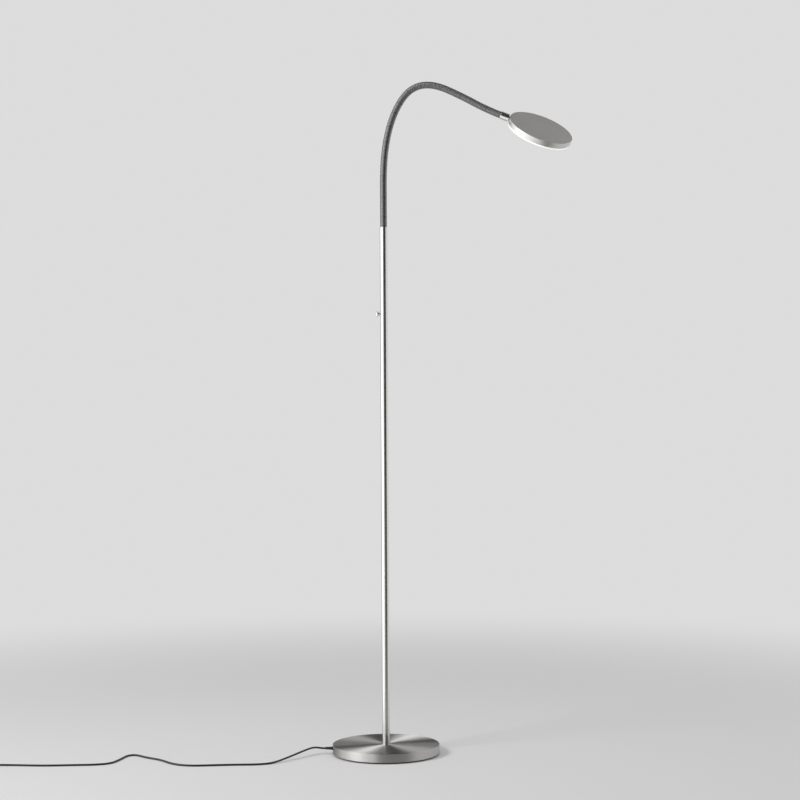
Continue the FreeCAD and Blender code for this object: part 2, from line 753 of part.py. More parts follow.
def rib_circles(ribs, turn, first, last):
    """Four circles for each rib: root, crest, crest and root."""
    length = ribs * RIB_PITCH
    root_edge = RIB_ROOT_WIDTH / 2
    crest_edge = (RIB_PITCH - RIB_CREST_WIDTH) / 2
    circles = []
    for rib in range(ribs):
        stations = [
            (root_edge, RIB_ROOT_DIAMETER),
            (crest_edge, RIB_CREST_DIAMETER),
            (RIB_PITCH - crest_edge, RIB_CREST_DIAMETER),
            (RIB_PITCH - root_edge, RIB_ROOT_DIAMETER),
        ]
        if rib == 0:
            stations[0] = (0.0 if first else JOINT_SETBACK, RIB_ROOT_DIAMETER)
        if rib == ribs - 1:
            stations[3] = (RIB_PITCH - (0.0 if last else JOINT_SETBACK), RIB_ROOT_DIAMETER)
        for offset, diameter in stations:
            circle = Part.Wire(Part.makeCircle(diameter / 2))
            circle.Placement = arc_frame(length, turn, rib * RIB_PITCH + offset)
            circles.append(circle)
    return circles


def lead_hole(length, turn):
    """The hole for the lead along a section's centreline."""
    disc = Part.Face(Part.Wire(Part.makeCircle(LEAD_HOLE_DIAMETER / 2)))
    if abs(turn) < 1e-9:
        return disc.extrude(Vector(0, 0, length))
    radius = length / math.radians(turn)
    return disc.revolve(Vector(radius, 0, 0), Vector(0, 1, 0), turn)


def neck_section(ribs, turn, first, last):
    """One section: ribbed outside, ball at its lower end, socket at its upper end."""
    length = ribs * RIB_PITCH
    top = arc_frame(length, turn, length)
    section = Part.makeLoft(rib_circles(ribs, turn, first, last), True, True)
    if first:
        section = section.fuse(rod(BALL_DIAMETER, -SOCKET_SPIGOT_LENGTH, RIB_PITCH))
        section = section.cut(rod(LEAD_HOLE_DIAMETER, -SOCKET_SPIGOT_LENGTH - 1, 0))
    else:
        section = section.fuse(rod(BALL_STEM_DIAMETER, 0, RIB_PITCH))
        section = section.fuse(Part.makeSphere(BALL_DIAMETER / 2))
        section = section.cut(rod(LEAD_HOLE_DIAMETER, -BALL_DIAMETER, 0))
    if last:
        spigot = rod(FERRULE_SPIGOT_DIAMETER, -RIB_PITCH, FERRULE_SPIGOT_LENGTH)
        section = section.fuse(placed(spigot, top))
        hole = rod(LEAD_HOLE_DIAMETER, 0, FERRULE_SPIGOT_LENGTH + 1)
    else:
        depth = BALL_DIAMETER / 2 + 2 * BALL_GAP
        hole = rod(BALL_DIAMETER + 2 * BALL_GAP, -depth, 1)
    section = section.cut(placed(hole, top))
    return section.cut(lead_hole(length, turn))


def neck_lead(frames):
    """The lead from the switch board through the neck to the ferrule."""
    start = Vector(0, 0, BUTTON_HEIGHT + BOARD_LENGTH / 2)
    straight = next(k for k, section in enumerate(NECK_SECTIONS) if section[1])
    edges = [Part.LineSegment(start, frames[straight].Base).toShape()]
    for (ribs, turn), frame in zip(NECK_SECTIONS[straight:], frames[straight:]):
        length = ribs * RIB_PITCH
        middle = frame.multiply(arc_frame(length, turn, length / 2)).Base
        end = frame.multiply(arc_frame(length, turn, length)).Base
        edges.append(Part.Arc(frame.Base, middle, end).toShape())
    spigot_end = frames[-1].multVec(Vector(0, 0, FERRULE_SPIGOT_LENGTH + LOOSE_GAP))
    edges.append(Part.LineSegment(frames[-1].Base, spigot_end).toShape())
    path = Part.Wire(edges)
    lead = swept_tube(path, LEAD_DIAMETER)
    check_tube("neck_lead", lead, path, LEAD_DIAMETER)
    return lead


def make_neck():
    """The bendable neck, section by section."""
    frames = section_frames()
    count = len(NECK_SECTIONS)
    for index, (ribs, turn) in enumerate(NECK_SECTIONS):
        section = neck_section(ribs, turn, index == 0, index == count - 1)
        record_node(f"neck_section_{index + 1:02d}", placed(section, frames[index]))
    record_node("neck_lead", neck_lead(frames))
    lean = 0.0
    for index, frame in enumerate(frames):
        base = frame.Base
        print(f"neck joint {index + 1}: x {base.x:.3f} z {base.z:.3f} lean {lean:.2f}")
        if index < count:
            lean += NECK_SECTIONS[index][1]


# ---------------------------------------------------------------- ferrule and head


def ferrule_frame():
    """The frame at the ferrule's lower end, with +Z along the swivel's axis."""
    return section_frames()[-1]


def head_frame(roll=HEAD_ROLL):
    """The head's frame: +X out along the swivel, +Z out of the upper face."""
    shift = Placement(Vector(0, 0, head_offset()), Rotation(Vector(0, 1, 0), -90))
    roll_turn = Placement(Vector(), Rotation(Vector(1, 0, 0), roll))
    return ferrule_frame().multiply(shift).multiply(roll_turn)


def shell_face():
    """Distance along the swivel from the neck's end to the head's rim."""
    return FERRULE_LENGTH + STEM_SHOULDER_GAP + STEM_SHOULDER_WIDTH


def head_offset():
    """Distance along the swivel from the neck's end to the head's centre."""
    return shell_face() + HEAD_RADIUS


def swivel_screw_place():
    """Where the swivel's set screw points out of the ferrule, towards -Y."""
    height = FERRULE_LENGTH - FERRULE_END_WALL / 2
    return Placement(Vector(0, 0, height), Rotation(Vector(1, 0, 0), 90))


def neck_ferrule():
    """The sleeve on the neck's end that the head swivels in."""
    wall_low = FERRULE_LENGTH - FERRULE_END_WALL
    ferrule = rod(FERRULE_DIAMETER, 0, FERRULE_LENGTH)
    for level in (0, FERRULE_LENGTH):
        ferrule = ferrule.makeChamfer(FERRULE_CHAMFER, circular_edges(ferrule, FERRULE_DIAMETER, level))
    ferrule = ferrule.cut(rod(FERRULE_SPIGOT_DIAMETER + 2 * PRESS_GAP, -1, wall_low))
    ferrule = ferrule.cut(rod(STEM_DIAMETER + 2 * RUNNING_GAP, 0, FERRULE_LENGTH + 1))
    hole = rod(SWIVEL_SCREW_DIAMETER + 2 * PRESS_GAP, 0, FERRULE_DIAMETER)
    return ferrule.cut(placed(hole, swivel_screw_place()))


def ferrule_set_screw():
    """The headless screw that sets the swivel's friction."""
    inner_end = STEM_DIAMETER / 2 + RUNNING_GAP + PRESS_GAP
    outer_end = FERRULE_DIAMETER / 2 - SET_SCREW_SUNK
    screw = rod(SWIVEL_SCREW_DIAMETER, inner_end, outer_end)
    socket = hexagon(SWIVEL_SCREW_DIAMETER / 2, outer_end - SET_SCREW_SOCKET_DEPTH, outer_end + 1)
    return placed(screw.cut(socket), swivel_screw_place())


def clip_levels():
    """Lower and upper level of the stem's groove, along the swivel."""
    high = FERRULE_LENGTH - FERRULE_END_WALL - STEM_CLIP_GAP
    return high - STEM_CLIP_THICKNESS, high


def swivel_stem():
    """The hollow stem that joins the head to the ferrule."""
    low = FERRULE_LENGTH - FERRULE_END_WALL - STEM_TAIL
    shoulder_low = FERRULE_LENGTH + STEM_SHOULDER_GAP
    stem = rod(STEM_DIAMETER, low, shell_face() + STEM_INNER_LENGTH)
    stem = stem.fuse(rod(STEM_SHOULDER_DIAMETER, shoulder_low, shell_face() - PRESS_GAP))
    groove_low, groove_high = clip_levels()
    stem = stem.cut(
        tube(STEM_DIAMETER + 2, STEM_DIAMETER - 2 * STEM_GROOVE_DEPTH, groove_low, groove_high)
    )
    bore = rod(LEAD_DIAMETER + 2 * LOOSE_GAP, low - 1, shell_face() + STEM_INNER_LENGTH + 1)
    return stem.cut(bore).removeSplitter()


def swivel_clip():
    """The clip that keeps the stem in the ferrule."""
    groove_low, groove_high = clip_levels()
    bore = STEM_DIAMETER - 2 * STEM_GROOVE_DEPTH + 2 * PRESS_GAP
    return tube(STEM_CLIP_DIAMETER, bore, groove_low + PRESS_GAP, groove_high - PRESS_GAP)


def stem_nut():
    """The nut inside the head, with flats towards the plate and the diffuser."""
    inner_radius = HEAD_RADIUS - SHELL_WALL
    half_width = STEM_NUT_ACROSS_FLATS / math.sqrt(3)
    sagitta = inner_radius - math.sqrt(inner_radius**2 - half_width**2)
    low = shell_face() + SHELL_WALL + sagitta + STEM_NUT_SEAT_GAP
    nut = hexagon(STEM_NUT_ACROSS_FLATS, low, low + STEM_NUT_HEIGHT)
    nut.rotate(Vector(), UP, 30)
    return nut.cut(rod(STEM_DIAMETER + 2 * PRESS_GAP, low - 1, low + STEM_NUT_HEIGHT + 1))


def stem_hole(gap):
    """A hole along the swivel's axis, in the head's frame."""
    hole = rod(STEM_DIAMETER + 2 * gap, -HEAD_RADIUS - 1, -HEAD_RADIUS + 4 * SHELL_WALL)
    return placed(hole, Placement(Vector(), Rotation(Vector(0, 1, 0), 90)))


def head_shell():
    """The machined cup that closes the head from above."""
    shell = rod(HEAD_DIAMETER, SHELL_BOTTOM, SHELL_TOP)
    for level in (SHELL_BOTTOM, SHELL_TOP):
        shell = shell.makeChamfer(SHELL_CHAMFER, circular_edges(shell, HEAD_DIAMETER, level))
    shell = shell.cut(rod(HEAD_DIAMETER - 2 * SHELL_WALL, SHELL_BOTTOM - 1, PLATE_UNDERSIDE))
    shell = shell.cut(stem_hole(PRESS_GAP))
    thread_diameter = BOARD_SCREW_DIAMETER + 2 * PRESS_GAP
    for thread in screw_ring(thread_diameter, BOARD_UNDERSIDE, screw_top() + PRESS_GAP):
        shell = shell.cut(thread)
    return shell


def screw_top():
    """Height of the ends of the board screws."""
    return PLATE_UNDERSIDE + BOARD_SCREW_GRIP


def screw_ring(diameter, low, high):
    """Equal rods at the places of the board screws."""
    rods = []
    for index in range(BOARD_SCREW_COUNT):
        angle = math.radians(360 * (index + 0.5) / BOARD_SCREW_COUNT)
        radius = BOARD_SCREW_CIRCLE / 2
        shape = rod(diameter, low, high)
        shape.translate(Vector(radius * math.cos(angle), radius * math.sin(angle), 0))
        rods.append(shape)
    return rods


def led_board():
    """The round board that is screwed up against the shell."""
    board = rod(BOARD_RING_DIAMETER, BOARD_UNDERSIDE, PLATE_UNDERSIDE)
    hole_diameter = BOARD_SCREW_DIAMETER + 2 * LOOSE_GAP
    for hole in screw_ring(hole_diameter, BOARD_UNDERSIDE - 1, PLATE_UNDERSIDE + 1):
        board = board.cut(hole)
    return board


def led_chips():
    """The light-emitting chips, in rings on the board's underside."""
    chips = []
    half = LED_SIDE / 2
    for radius, count in LED_RINGS:
        for index in range(count):
            chip = block(
                (radius - half, radius + half),
                (-half, half),
                (BOARD_UNDERSIDE - LED_HEIGHT, BOARD_UNDERSIDE),
            )
            chip.rotate(Vector(), UP, 360 * (index + 0.5) / count)
            chips.append(chip)
    return chips


def board_screws():
    """The screws of the board, heads down."""
    head_low = BOARD_UNDERSIDE - BOARD_SCREW_HEAD_HEIGHT
    heads = screw_ring(BOARD_SCREW_HEAD_DIAMETER, head_low, BOARD_UNDERSIDE)
    shanks = screw_ring(BOARD_SCREW_DIAMETER, head_low + BOARD_SCREW_HEAD_HEIGHT / 2, screw_top())
    return [head.fuse(shank).removeSplitter() for head, shank in zip(heads, shanks)]


def diffuser_levels():
    """Heights of the diffuser's face, its plate's inner side and its lip's upper edge."""
    face = SHELL_BOTTOM - DIFFUSER_LIP_HEIGHT
    return face, face + DIFFUSER_PLATE, SHELL_BOTTOM - DIFFUSER_SEAT_GAP


def nut_notch():
    """The space around the stem's nut, in the head's frame."""
    half_width = NOTCH_WIDTH / 2
    x = (-HEAD_RADIUS, NOTCH_DEPTH - HEAD_RADIUS)
    return block(x, (-half_width, half_width), (diffuser_levels()[2], SHELL_TOP))


def diffuser():
    """The opal cover, whose lip stands below the shell's edge."""
    face, plate_top, lip_top = diffuser_levels()
    lip_diameter = HEAD_DIAMETER - 2 * DIFFUSER_LIP_SETBACK
    spigot_diameter = HEAD_DIAMETER - 2 * SHELL_WALL - 2 * LOOSE_GAP
    spigot_top = lip_top + DIFFUSER_SPIGOT_HEIGHT
    shape = rod(lip_diameter, face, lip_top)
    shape = shape.makeFillet(DIFFUSER_ROUND, circular_edges(shape, lip_diameter, face))
    shape = shape.fuse(rod(spigot_diameter, plate_top, spigot_top))
    shape = shape.cut(rod(spigot_diameter - 2 * DIFFUSER_SPIGOT_WALL, plate_top, spigot_top + 1))
    return shape.cut(nut_notch()).removeSplitter()


def reflector():
    """The white conical ring between the board and the diffuser."""
    plate_top = diffuser_levels()[1]
    inset = SHELL_WALL + LOOSE_GAP + DIFFUSER_SPIGOT_WALL + REFLECTOR_RIM_GAP
    low_diameter = HEAD_DIAMETER - 2 * inset
    high_diameter = BOARD_RING_DIAMETER
    high = BOARD_UNDERSIDE - REFLECTOR_BOARD_GAP
    outer = taper(low_diameter, high_diameter, plate_top, high)
    inner = taper(low_diameter - 2 * REFLECTOR_WALL, high_diameter - 2 * REFLECTOR_WALL, plate_top, high)
    return outer.cut(inner).cut(nut_notch())


def head_terminal():
    """The terminal under the board that takes the lead."""
    x = (-TERMINAL_REACH - TERMINAL_LENGTH, -TERMINAL_REACH)
    half_width = TERMINAL_WIDTH / 2
    return block(x, (-half_width, half_width), (BOARD_UNDERSIDE - TERMINAL_DROP, BOARD_UNDERSIDE))


def head_lead():
    """The lead through the stem, in the head's frame."""
    start = -head_offset() + FERRULE_SPIGOT_LENGTH + LOOSE_GAP
    end = -TERMINAL_REACH - TERMINAL_LENGTH
    return Part.makeCylinder(LEAD_RADIUS, end - start, Vector(start, 0, 0), Vector(1, 0, 0))


def make_head():
    """The ferrule, the swivel and the head."""
    swivel = ferrule_frame()
    record_node("neck_ferrule", placed(neck_ferrule(), swivel))
    record_node("ferrule_set_screw", placed(ferrule_set_screw(), swivel))
    rolled = swivel.multiply(Placement(Vector(), Rotation(UP, HEAD_ROLL)))
    record_node("swivel_stem", placed(swivel_stem(), rolled))
    record_node("swivel_clip", placed(swivel_clip(), rolled))
    record_node("stem_nut", placed(stem_nut(), rolled))
    head = head_frame()
    record_node("head_shell", placed(head_shell(), head))
    record_node("led_board", placed(led_board(), head))
    record_node("led_chips", *[placed(chip, head) for chip in led_chips()])
    record_node("board_screws", *[placed(screw, head) for screw in board_screws()])
    record_node("reflector", placed(reflector(), head))
    record_node("diffuser", placed(diffuser(), head))
    record_node("head_terminal", placed(head_terminal(), head))
    record_node("head_lead", placed(head_lead(), head))
    normal = head.Rotation.multVec(UP)
    axis = swivel.Rotation.multVec(UP)
    print(f"swivel: {swivel.Base} along {axis}; head centre {head.Base}; normal {normal}")


# ---------------------------------------------------------------- supply cord


def half_turn(centre, side, start_radius, end_radius, reach, low, high):
    """Edges of half a turn of the coil, level at both ends.

    It goes from one side of the centre in Y to the other and bulges in X by the reach.
    """
    rise = high - low
    start = centre + Vector(0, side * start_radius, low)
    end = centre + Vector(0, -side * end_radius, high)
    out = Vector(-side, 0, 0)
    across = (end - start).normalize()
    half_chord = start.distanceToPoint(end) / 2
    if reach < half_chord - 0.1:
        corner_in = start + out * reach + across * reach
        corner_out = end + out * reach - across * reach
        bend = reach * (1 - math.sqrt(0.5))
        mid_in = start + out * (reach - bend) + across * bend
        mid_out = end + out * (reach - bend) - across * bend
        return [
            Part.Arc(start, mid_in, corner_in).toShape(),
            Part.LineSegment(corner_in, corner_out).toShape(),
            Part.Arc(corner_out, mid_out, end).toShape(),
        ]
    straight = max(0.0, reach - half_chord)
    if rise == 0.0 or straight < 0.1:
        straight = 0.0
    middle = (start + end) * 0.5 + out * (half_chord + straight)
    arc = Part.Arc(start + out * straight, middle, end + out * straight).toShape()
    if straight == 0.0:
        return [arc]
    return [
        Part.LineSegment(start, start + out * straight).toShape(),
        arc,
        Part.LineSegment(end + out * straight, end).toShape(),
    ]


def coil_stations():
    """Radius and level of the cord at each half turn of the coil.

    The turns spiral in and out again by turns, and climb a layer where they reverse.
    """
    step = COIL_PITCH / 2
    inner = COIL_MIDDLE_RADIUS - 1.5 * step
    per_layer = [inner + 3 * step, inner + 2 * step, inner + step, inner]
    stations = [(per_layer[0] + step, 0)]
    for layer in range(COIL_LAYERS):
        order = per_layer if layer % 2 == 0 else per_layer[::-1]
        stations += [(radius, layer) for radius in order]
    return stations


def coil_centre():
    """The coil's centre on the floor plane."""
    start = Vector(*CORD_ROUTE[-1])
    return Vector(start.x, start.y - coil_stations()[0][0], start.z)


def coil_path():
    """The centreline of the coil, as one smooth wire."""
    step = COIL_PITCH / 2
    centre = coil_centre()
    stations = coil_stations()
    edges = []
    for index in range(len(stations) - 1):
        side = 1 if index % 2 == 0 else -1
        (start_radius, low), (end_radius, high) = stations[index : index + 2]
        reach = (start_radius + end_radius) / 2
        if high != low:
            reach += step / 2 if high % 2 == 0 else -step / 2
        edges += half_turn(centre, side, start_radius, end_radius, reach, low * COIL_PITCH, high * COIL_PITCH)
    return Part.Wire(edges)


def least_self_gap(path, diameter):
    """The least gap between stretches of one tube that are not neighbours."""
    spacing = 1.5
    count = int(path.Length / spacing)
    points = path.discretize(Number=count)
    skip = int(4 * diameter / spacing)
    least = min(
        points[i].distanceToPoint(points[j])
        for i in range(count)
        for j in range(i + skip, count)
    )
    return least - diameter


def cord_tie():
    """A flat band around the turns at the coil's -Y side."""
    centre = coil_centre()
    stations = coil_stations()
    radii = [radius for index, (radius, _) in enumerate(stations) if index % 2 == 1]
    near = centre.y - max(radii) - CORD_RADIUS - TIE_GAP
    far = centre.y - min(radii) + CORD_RADIUS + TIE_GAP
    low = centre.z - CORD_RADIUS - TIE_GAP
    high = centre.z + (COIL_LAYERS - 1) * COIL_PITCH + CORD_RADIUS + TIE_GAP
    x = (centre.x - TIE_WIDTH / 2, centre.x + TIE_WIDTH / 2)
    outer = block(
        x,
        (near - TIE_THICKNESS, far + TIE_THICKNESS),
        (low - TIE_THICKNESS, high + TIE_THICKNESS),
    )
    lengthwise = [edge for edge in outer.Edges if abs(edge.tangentAt(edge.FirstParameter).x) > 0.9]
    outer = outer.makeFillet(2 * TIE_THICKNESS, lengthwise)
    inner = block((x[0] - 1, x[1] + 1), (near, far), (low, high))
    lengthwise = [edge for edge in inner.Edges if abs(edge.tangentAt(edge.FirstParameter).x) > 0.9]
    return outer.cut(inner.makeFillet(TIE_THICKNESS, lengthwise))


def make_cord():
    """The cord from the bush to the coil, the coil, and the tail to the supply."""
    points = [Vector(*point) for point in CORD_ROUTE]
    points[0] = Vector(-bush_tip(), 0, CORD_EXIT_HEIGHT)
    path, radii = rounded_route(points)
    cord = swept_tube(path, CORD_DIAMETER)
    check_tube("cord", cord, path, CORD_DIAMETER, radii)
    record_node("cord", cord)
    coil = coil_path()
    coil_solid = swept_tube(coil, CORD_DIAMETER)
    check_tube("cord_coil", coil_solid, coil, CORD_DIAMETER)
    print(f"  least gap of the coil to itself {least_self_gap(coil, CORD_DIAMETER):.3f}")
    record_node("cord_coil", coil_solid)
    record_node("cord_tie", cord_tie())
    tail_path, tail_radii = rounded_route(tail_points(coil))
    tail = swept_tube(tail_path, CORD_DIAMETER)
    check_tube("cord_tail", tail, tail_path, CORD_DIAMETER, tail_radii)
    record_node("cord_tail", tail)
    total = path.Length + coil.Length + tail_path.Length
    print(f"cord, whole length outside the base: {total:.0f}")
    make_supply(tail_points(coil)[-1])


def tail_points(coil):
    """The tail's route, from the coil's end."""
    last = coil.OrderedEdges[-1]
    end = last.valueAt(last.LastParameter)
    points = [end + Vector(*offset) for offset in TAIL_ROUTE]
    for point in points[-2:]:
        point.z = SUPPLY_HEIGHT / 2
    return points


# ---------------------------------------------------------------- power supply


def supply_body():
    """The outer block of the power supply, along +Z from the cord's end."""
    half_width = SUPPLY_WIDTH / 2
    half_height = SUPPLY_HEIGHT / 2
    body = block((-half_width, half_width), (-half_height, half_height), (0, SUPPLY_LENGTH))
    lengthwise = [edge for edge in body.Edges if abs(edge.tangentAt(edge.FirstParameter).z) > 0.9]
    body = body.makeFillet(SUPPLY_ROUND, lengthwise)
    rims = [edge for edge in body.Edges if edge.BoundBox.ZLength < 1e-3]
    return body.makeChamfer(SUPPLY_WALL / 3, rims)


def supply_cavity():
    """The space inside the power supply."""
    half_width = SUPPLY_WIDTH / 2 - SUPPLY_WALL
    half_height = SUPPLY_HEIGHT / 2 - SUPPLY_WALL
    z = (SUPPLY_WALL, SUPPLY_LENGTH - SUPPLY_WALL)
    return block((-half_width, half_width), (-half_height, half_height), z)


def supply_half(side):
    """Lower half of the case for side -1, upper half for side 1."""
    span = SUPPLY_WIDTH + SUPPLY_LENGTH
    y = (0, span) if side > 0 else (-span, 0)
    half = supply_body().cut(supply_cavity()).common(block((-span, span), y, (-span, span)))
    for pin in pin_rods(PRESS_GAP):
        half = half.cut(pin)
    anchor = rod(RELIEF_ANCHOR_DIAMETER + 2 * PRESS_GAP, -1, SUPPLY_WALL + 1)
    return half.cut(anchor)


def pin_rods(margin=0.0):
    """The two round contact pins with their sleeves, or the holes for them."""
    low = SUPPLY_LENGTH - PIN_ROOT_LENGTH - margin
    bare = SUPPLY_LENGTH + PIN_SLEEVE_LENGTH
    end = SUPPLY_LENGTH + PIN_LENGTH
    pins = []
    for side in (-1, 1):
        pin = rod(PIN_SLEEVE_DIAMETER + 2 * margin, low, bare)
        if margin == 0.0:
            contact = rod(PIN_DIAMETER, bare, end)
            contact = contact.makeFillet(PIN_TIP_ROUND, circular_edges(contact, PIN_DIAMETER, end))
            pin = pin.fuse(contact)
        pin.translate(Vector(side * PIN_SPACING / 2, 0, 0))
        pins.append(pin)
    return pins


def supply_board():
    """The converter board with its transformer, on the lower half of the case."""
    floor = -SUPPLY_HEIGHT / 2 + SUPPLY_WALL
    half_width = SUPPLY_WIDTH / 2 - SUPPLY_WALL - SUPPLY_BOARD_SIDE_GAP
    ends = (SUPPLY_WALL + RELIEF_ANCHOR_LENGTH, SUPPLY_LENGTH - SUPPLY_WALL - SUPPLY_BOARD_SIDE_GAP)
    board_top = floor + SUPPLY_BOARD_THICKNESS
    board = block((-half_width, half_width), (floor, board_top), ends)
    half_core = TRANSFORMER_WIDTH / 2
    middle = SUPPLY_LENGTH / 2 - TRANSFORMER_LENGTH / 4
    core = block(
        (-half_core, half_core),
        (board_top, board_top + TRANSFORMER_HEIGHT),
        (middle - TRANSFORMER_LENGTH / 2, middle + TRANSFORMER_LENGTH / 2),
    )
    return board.fuse(core).removeSplitter()


def supply_relief():
    """The tapered sleeve where the cord enters the power supply."""
    relief = taper(RELIEF_TIP_DIAMETER, RELIEF_BASE_DIAMETER, -RELIEF_LENGTH, 0)
    anchor = rod(RELIEF_ANCHOR_DIAMETER, 0, SUPPLY_WALL + RELIEF_ANCHOR_LENGTH - PRESS_GAP)
    return relief.fuse(anchor).removeSplitter()


def make_supply(cord_end):
    """The power supply, behind the sleeve that starts where the cord ends."""
    start = cord_end - Vector(0, RELIEF_LENGTH, 0)
    place = Placement(start, Rotation(Vector(1, 0, 0), 90))
    record_node("supply_base", placed(supply_half(-1), place))
    record_node("supply_cover", placed(supply_half(1), place))
    record_node("supply_board", placed(supply_board(), place))
    record_node("supply_pins", *[placed(pin, place) for pin in pin_rods()])
    record_node("supply_relief", placed(supply_relief(), place))


# ---------------------------------------------------------------- build


def main():
    """Build each sub-part and write it as one STEP file."""
    make_base()
    make_pole()
    make_neck()
    make_head()
    make_cord()
    os.makedirs("parts", exist_ok=True)
    for name, shape in NODES.items():
        shape.exportStep(f"parts/{name}.step")
        state = "" if shape.isValid() else "  not valid"
        solids = len(shape.Solids)
        print(f"{name}: {solids} solid(s), {shape.Volume / 1000:.2f} cm3{state}")
    print(f"{len(NODES)} nodes")


main()
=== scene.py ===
"""Looks of a gooseneck reading floor lamp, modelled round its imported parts.

Everything is in metres in the lamp's own frame: +Z runs up the pole, the neck arches over
towards +X, and the push button and the supply cord are on the -X side.
"""

import logging
import math
from collections.abc import Iterable, Sequence
from dataclasses import dataclass
from enum import Enum

import bmesh
import bpy
from mathutils import Matrix, Vector


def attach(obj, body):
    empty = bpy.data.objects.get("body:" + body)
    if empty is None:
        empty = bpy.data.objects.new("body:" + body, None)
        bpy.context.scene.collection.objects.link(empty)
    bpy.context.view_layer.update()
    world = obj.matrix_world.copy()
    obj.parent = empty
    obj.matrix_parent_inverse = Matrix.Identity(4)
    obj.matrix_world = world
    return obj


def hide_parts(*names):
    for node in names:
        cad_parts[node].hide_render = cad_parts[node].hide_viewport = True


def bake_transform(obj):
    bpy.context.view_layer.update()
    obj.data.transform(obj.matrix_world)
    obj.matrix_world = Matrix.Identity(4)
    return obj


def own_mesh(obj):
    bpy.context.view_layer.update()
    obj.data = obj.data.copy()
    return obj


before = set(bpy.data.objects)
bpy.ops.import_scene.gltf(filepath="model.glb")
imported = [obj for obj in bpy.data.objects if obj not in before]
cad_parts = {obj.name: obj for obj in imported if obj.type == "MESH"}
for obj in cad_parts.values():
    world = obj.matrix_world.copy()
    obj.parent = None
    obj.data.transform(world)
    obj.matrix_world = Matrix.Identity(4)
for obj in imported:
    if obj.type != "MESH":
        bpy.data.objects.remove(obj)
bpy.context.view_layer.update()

LOG = logging.getLogger("lamp")
MM = 0.001
SAME = 1e-6  # places closer than this are merged
NEAR = 1e-5  # how near a place has to be, to be found
FACING = 0.9  # a face looks along an axis if its normal reaches this far along it
OVERCUT = 1 * MM  # how far a cutting shape reaches past the surface
HOLE_SIDES = 32
SMALL_ROUND = 0.2 * MM
FINE_ROUND = 0.3 * MM

Colour = tuple[float, float, float]
Place = tuple[float, float, float]
Span = tuple[float, float]
Outline = Sequence[tuple[float, float]]
Mesh = bmesh.types.BMesh
Edge = bmesh.types.BMEdge
Piece = bpy.types.Object
Node = bpy.types.Node
Socket = bpy.types.NodeSocket


class Body(Enum):
    """The moving bodies of the lamp that whole pieces ride on."""

    STAND = "stand"
    BUTTON = "button"
    NECK_END = "neck_16"
    HEAD = "head"


# ---------------------------------------------------------------- finishes


class NodeGraph:
    """The nodes and links of a world or a material."""

    def __init__(self, tree: bpy.types.NodeTree) -> None:
        """Start from a node tree."""
        self.nodes = tree.nodes
        self.links = tree.links

    def node(self, kind: str, **settings: object) -> Node:
        """Add a node.

        Args:
            kind: The node's type, without its ShaderNode prefix.
            settings: Properties to set on it.

        Returns:
            The node.
        """
        made = self.nodes.new(f"ShaderNode{kind}")
        for name, value in settings.items():
            setattr(made, name, value)
        return made

    def arithmetic(self, operation: str, first: Socket | float, second: Socket | float) -> Socket:
        """Add a Math node.

        Args:
            operation: What it does.
            first: A socket or a number.
            second: A socket or a number.

        Returns:
            Its result.
        """
        made = self.node("Math", operation=operation)
        for socket, value in zip(made.inputs, (first, second)):
            if isinstance(value, (int, float)):
                socket.default_value = value
            else:
                self.links.new(value, socket)
        return made.outputs["Value"]

    def mixed(self, share: Socket, first: Socket | float, second: Socket | float) -> Socket:
        """Go from a first level to a second one by a share."""
        difference = self.arithmetic("SUBTRACT", second, first)
        return self.arithmetic("ADD", first, self.arithmetic("MULTIPLY", difference, share))

    def greys(self, value: Socket, stops: Outline) -> Socket:
        """Add a ramp of greys.

        Args:
            value: The socket that it follows.
            stops: Positions from 0 to 1, and the level at each.

        Returns:
            The grey.
        """
        made = self.node("ValToRGB")
        elements = made.color_ramp.elements
        while len(elements) < len(stops):
            elements.new(0.5)
        for element, (position, level) in zip(elements, stops):
            element.position = position
            element.color = (level, level, level, 1.0)
        self.links.new(value, made.inputs["Fac"])
        return made.outputs["Color"]


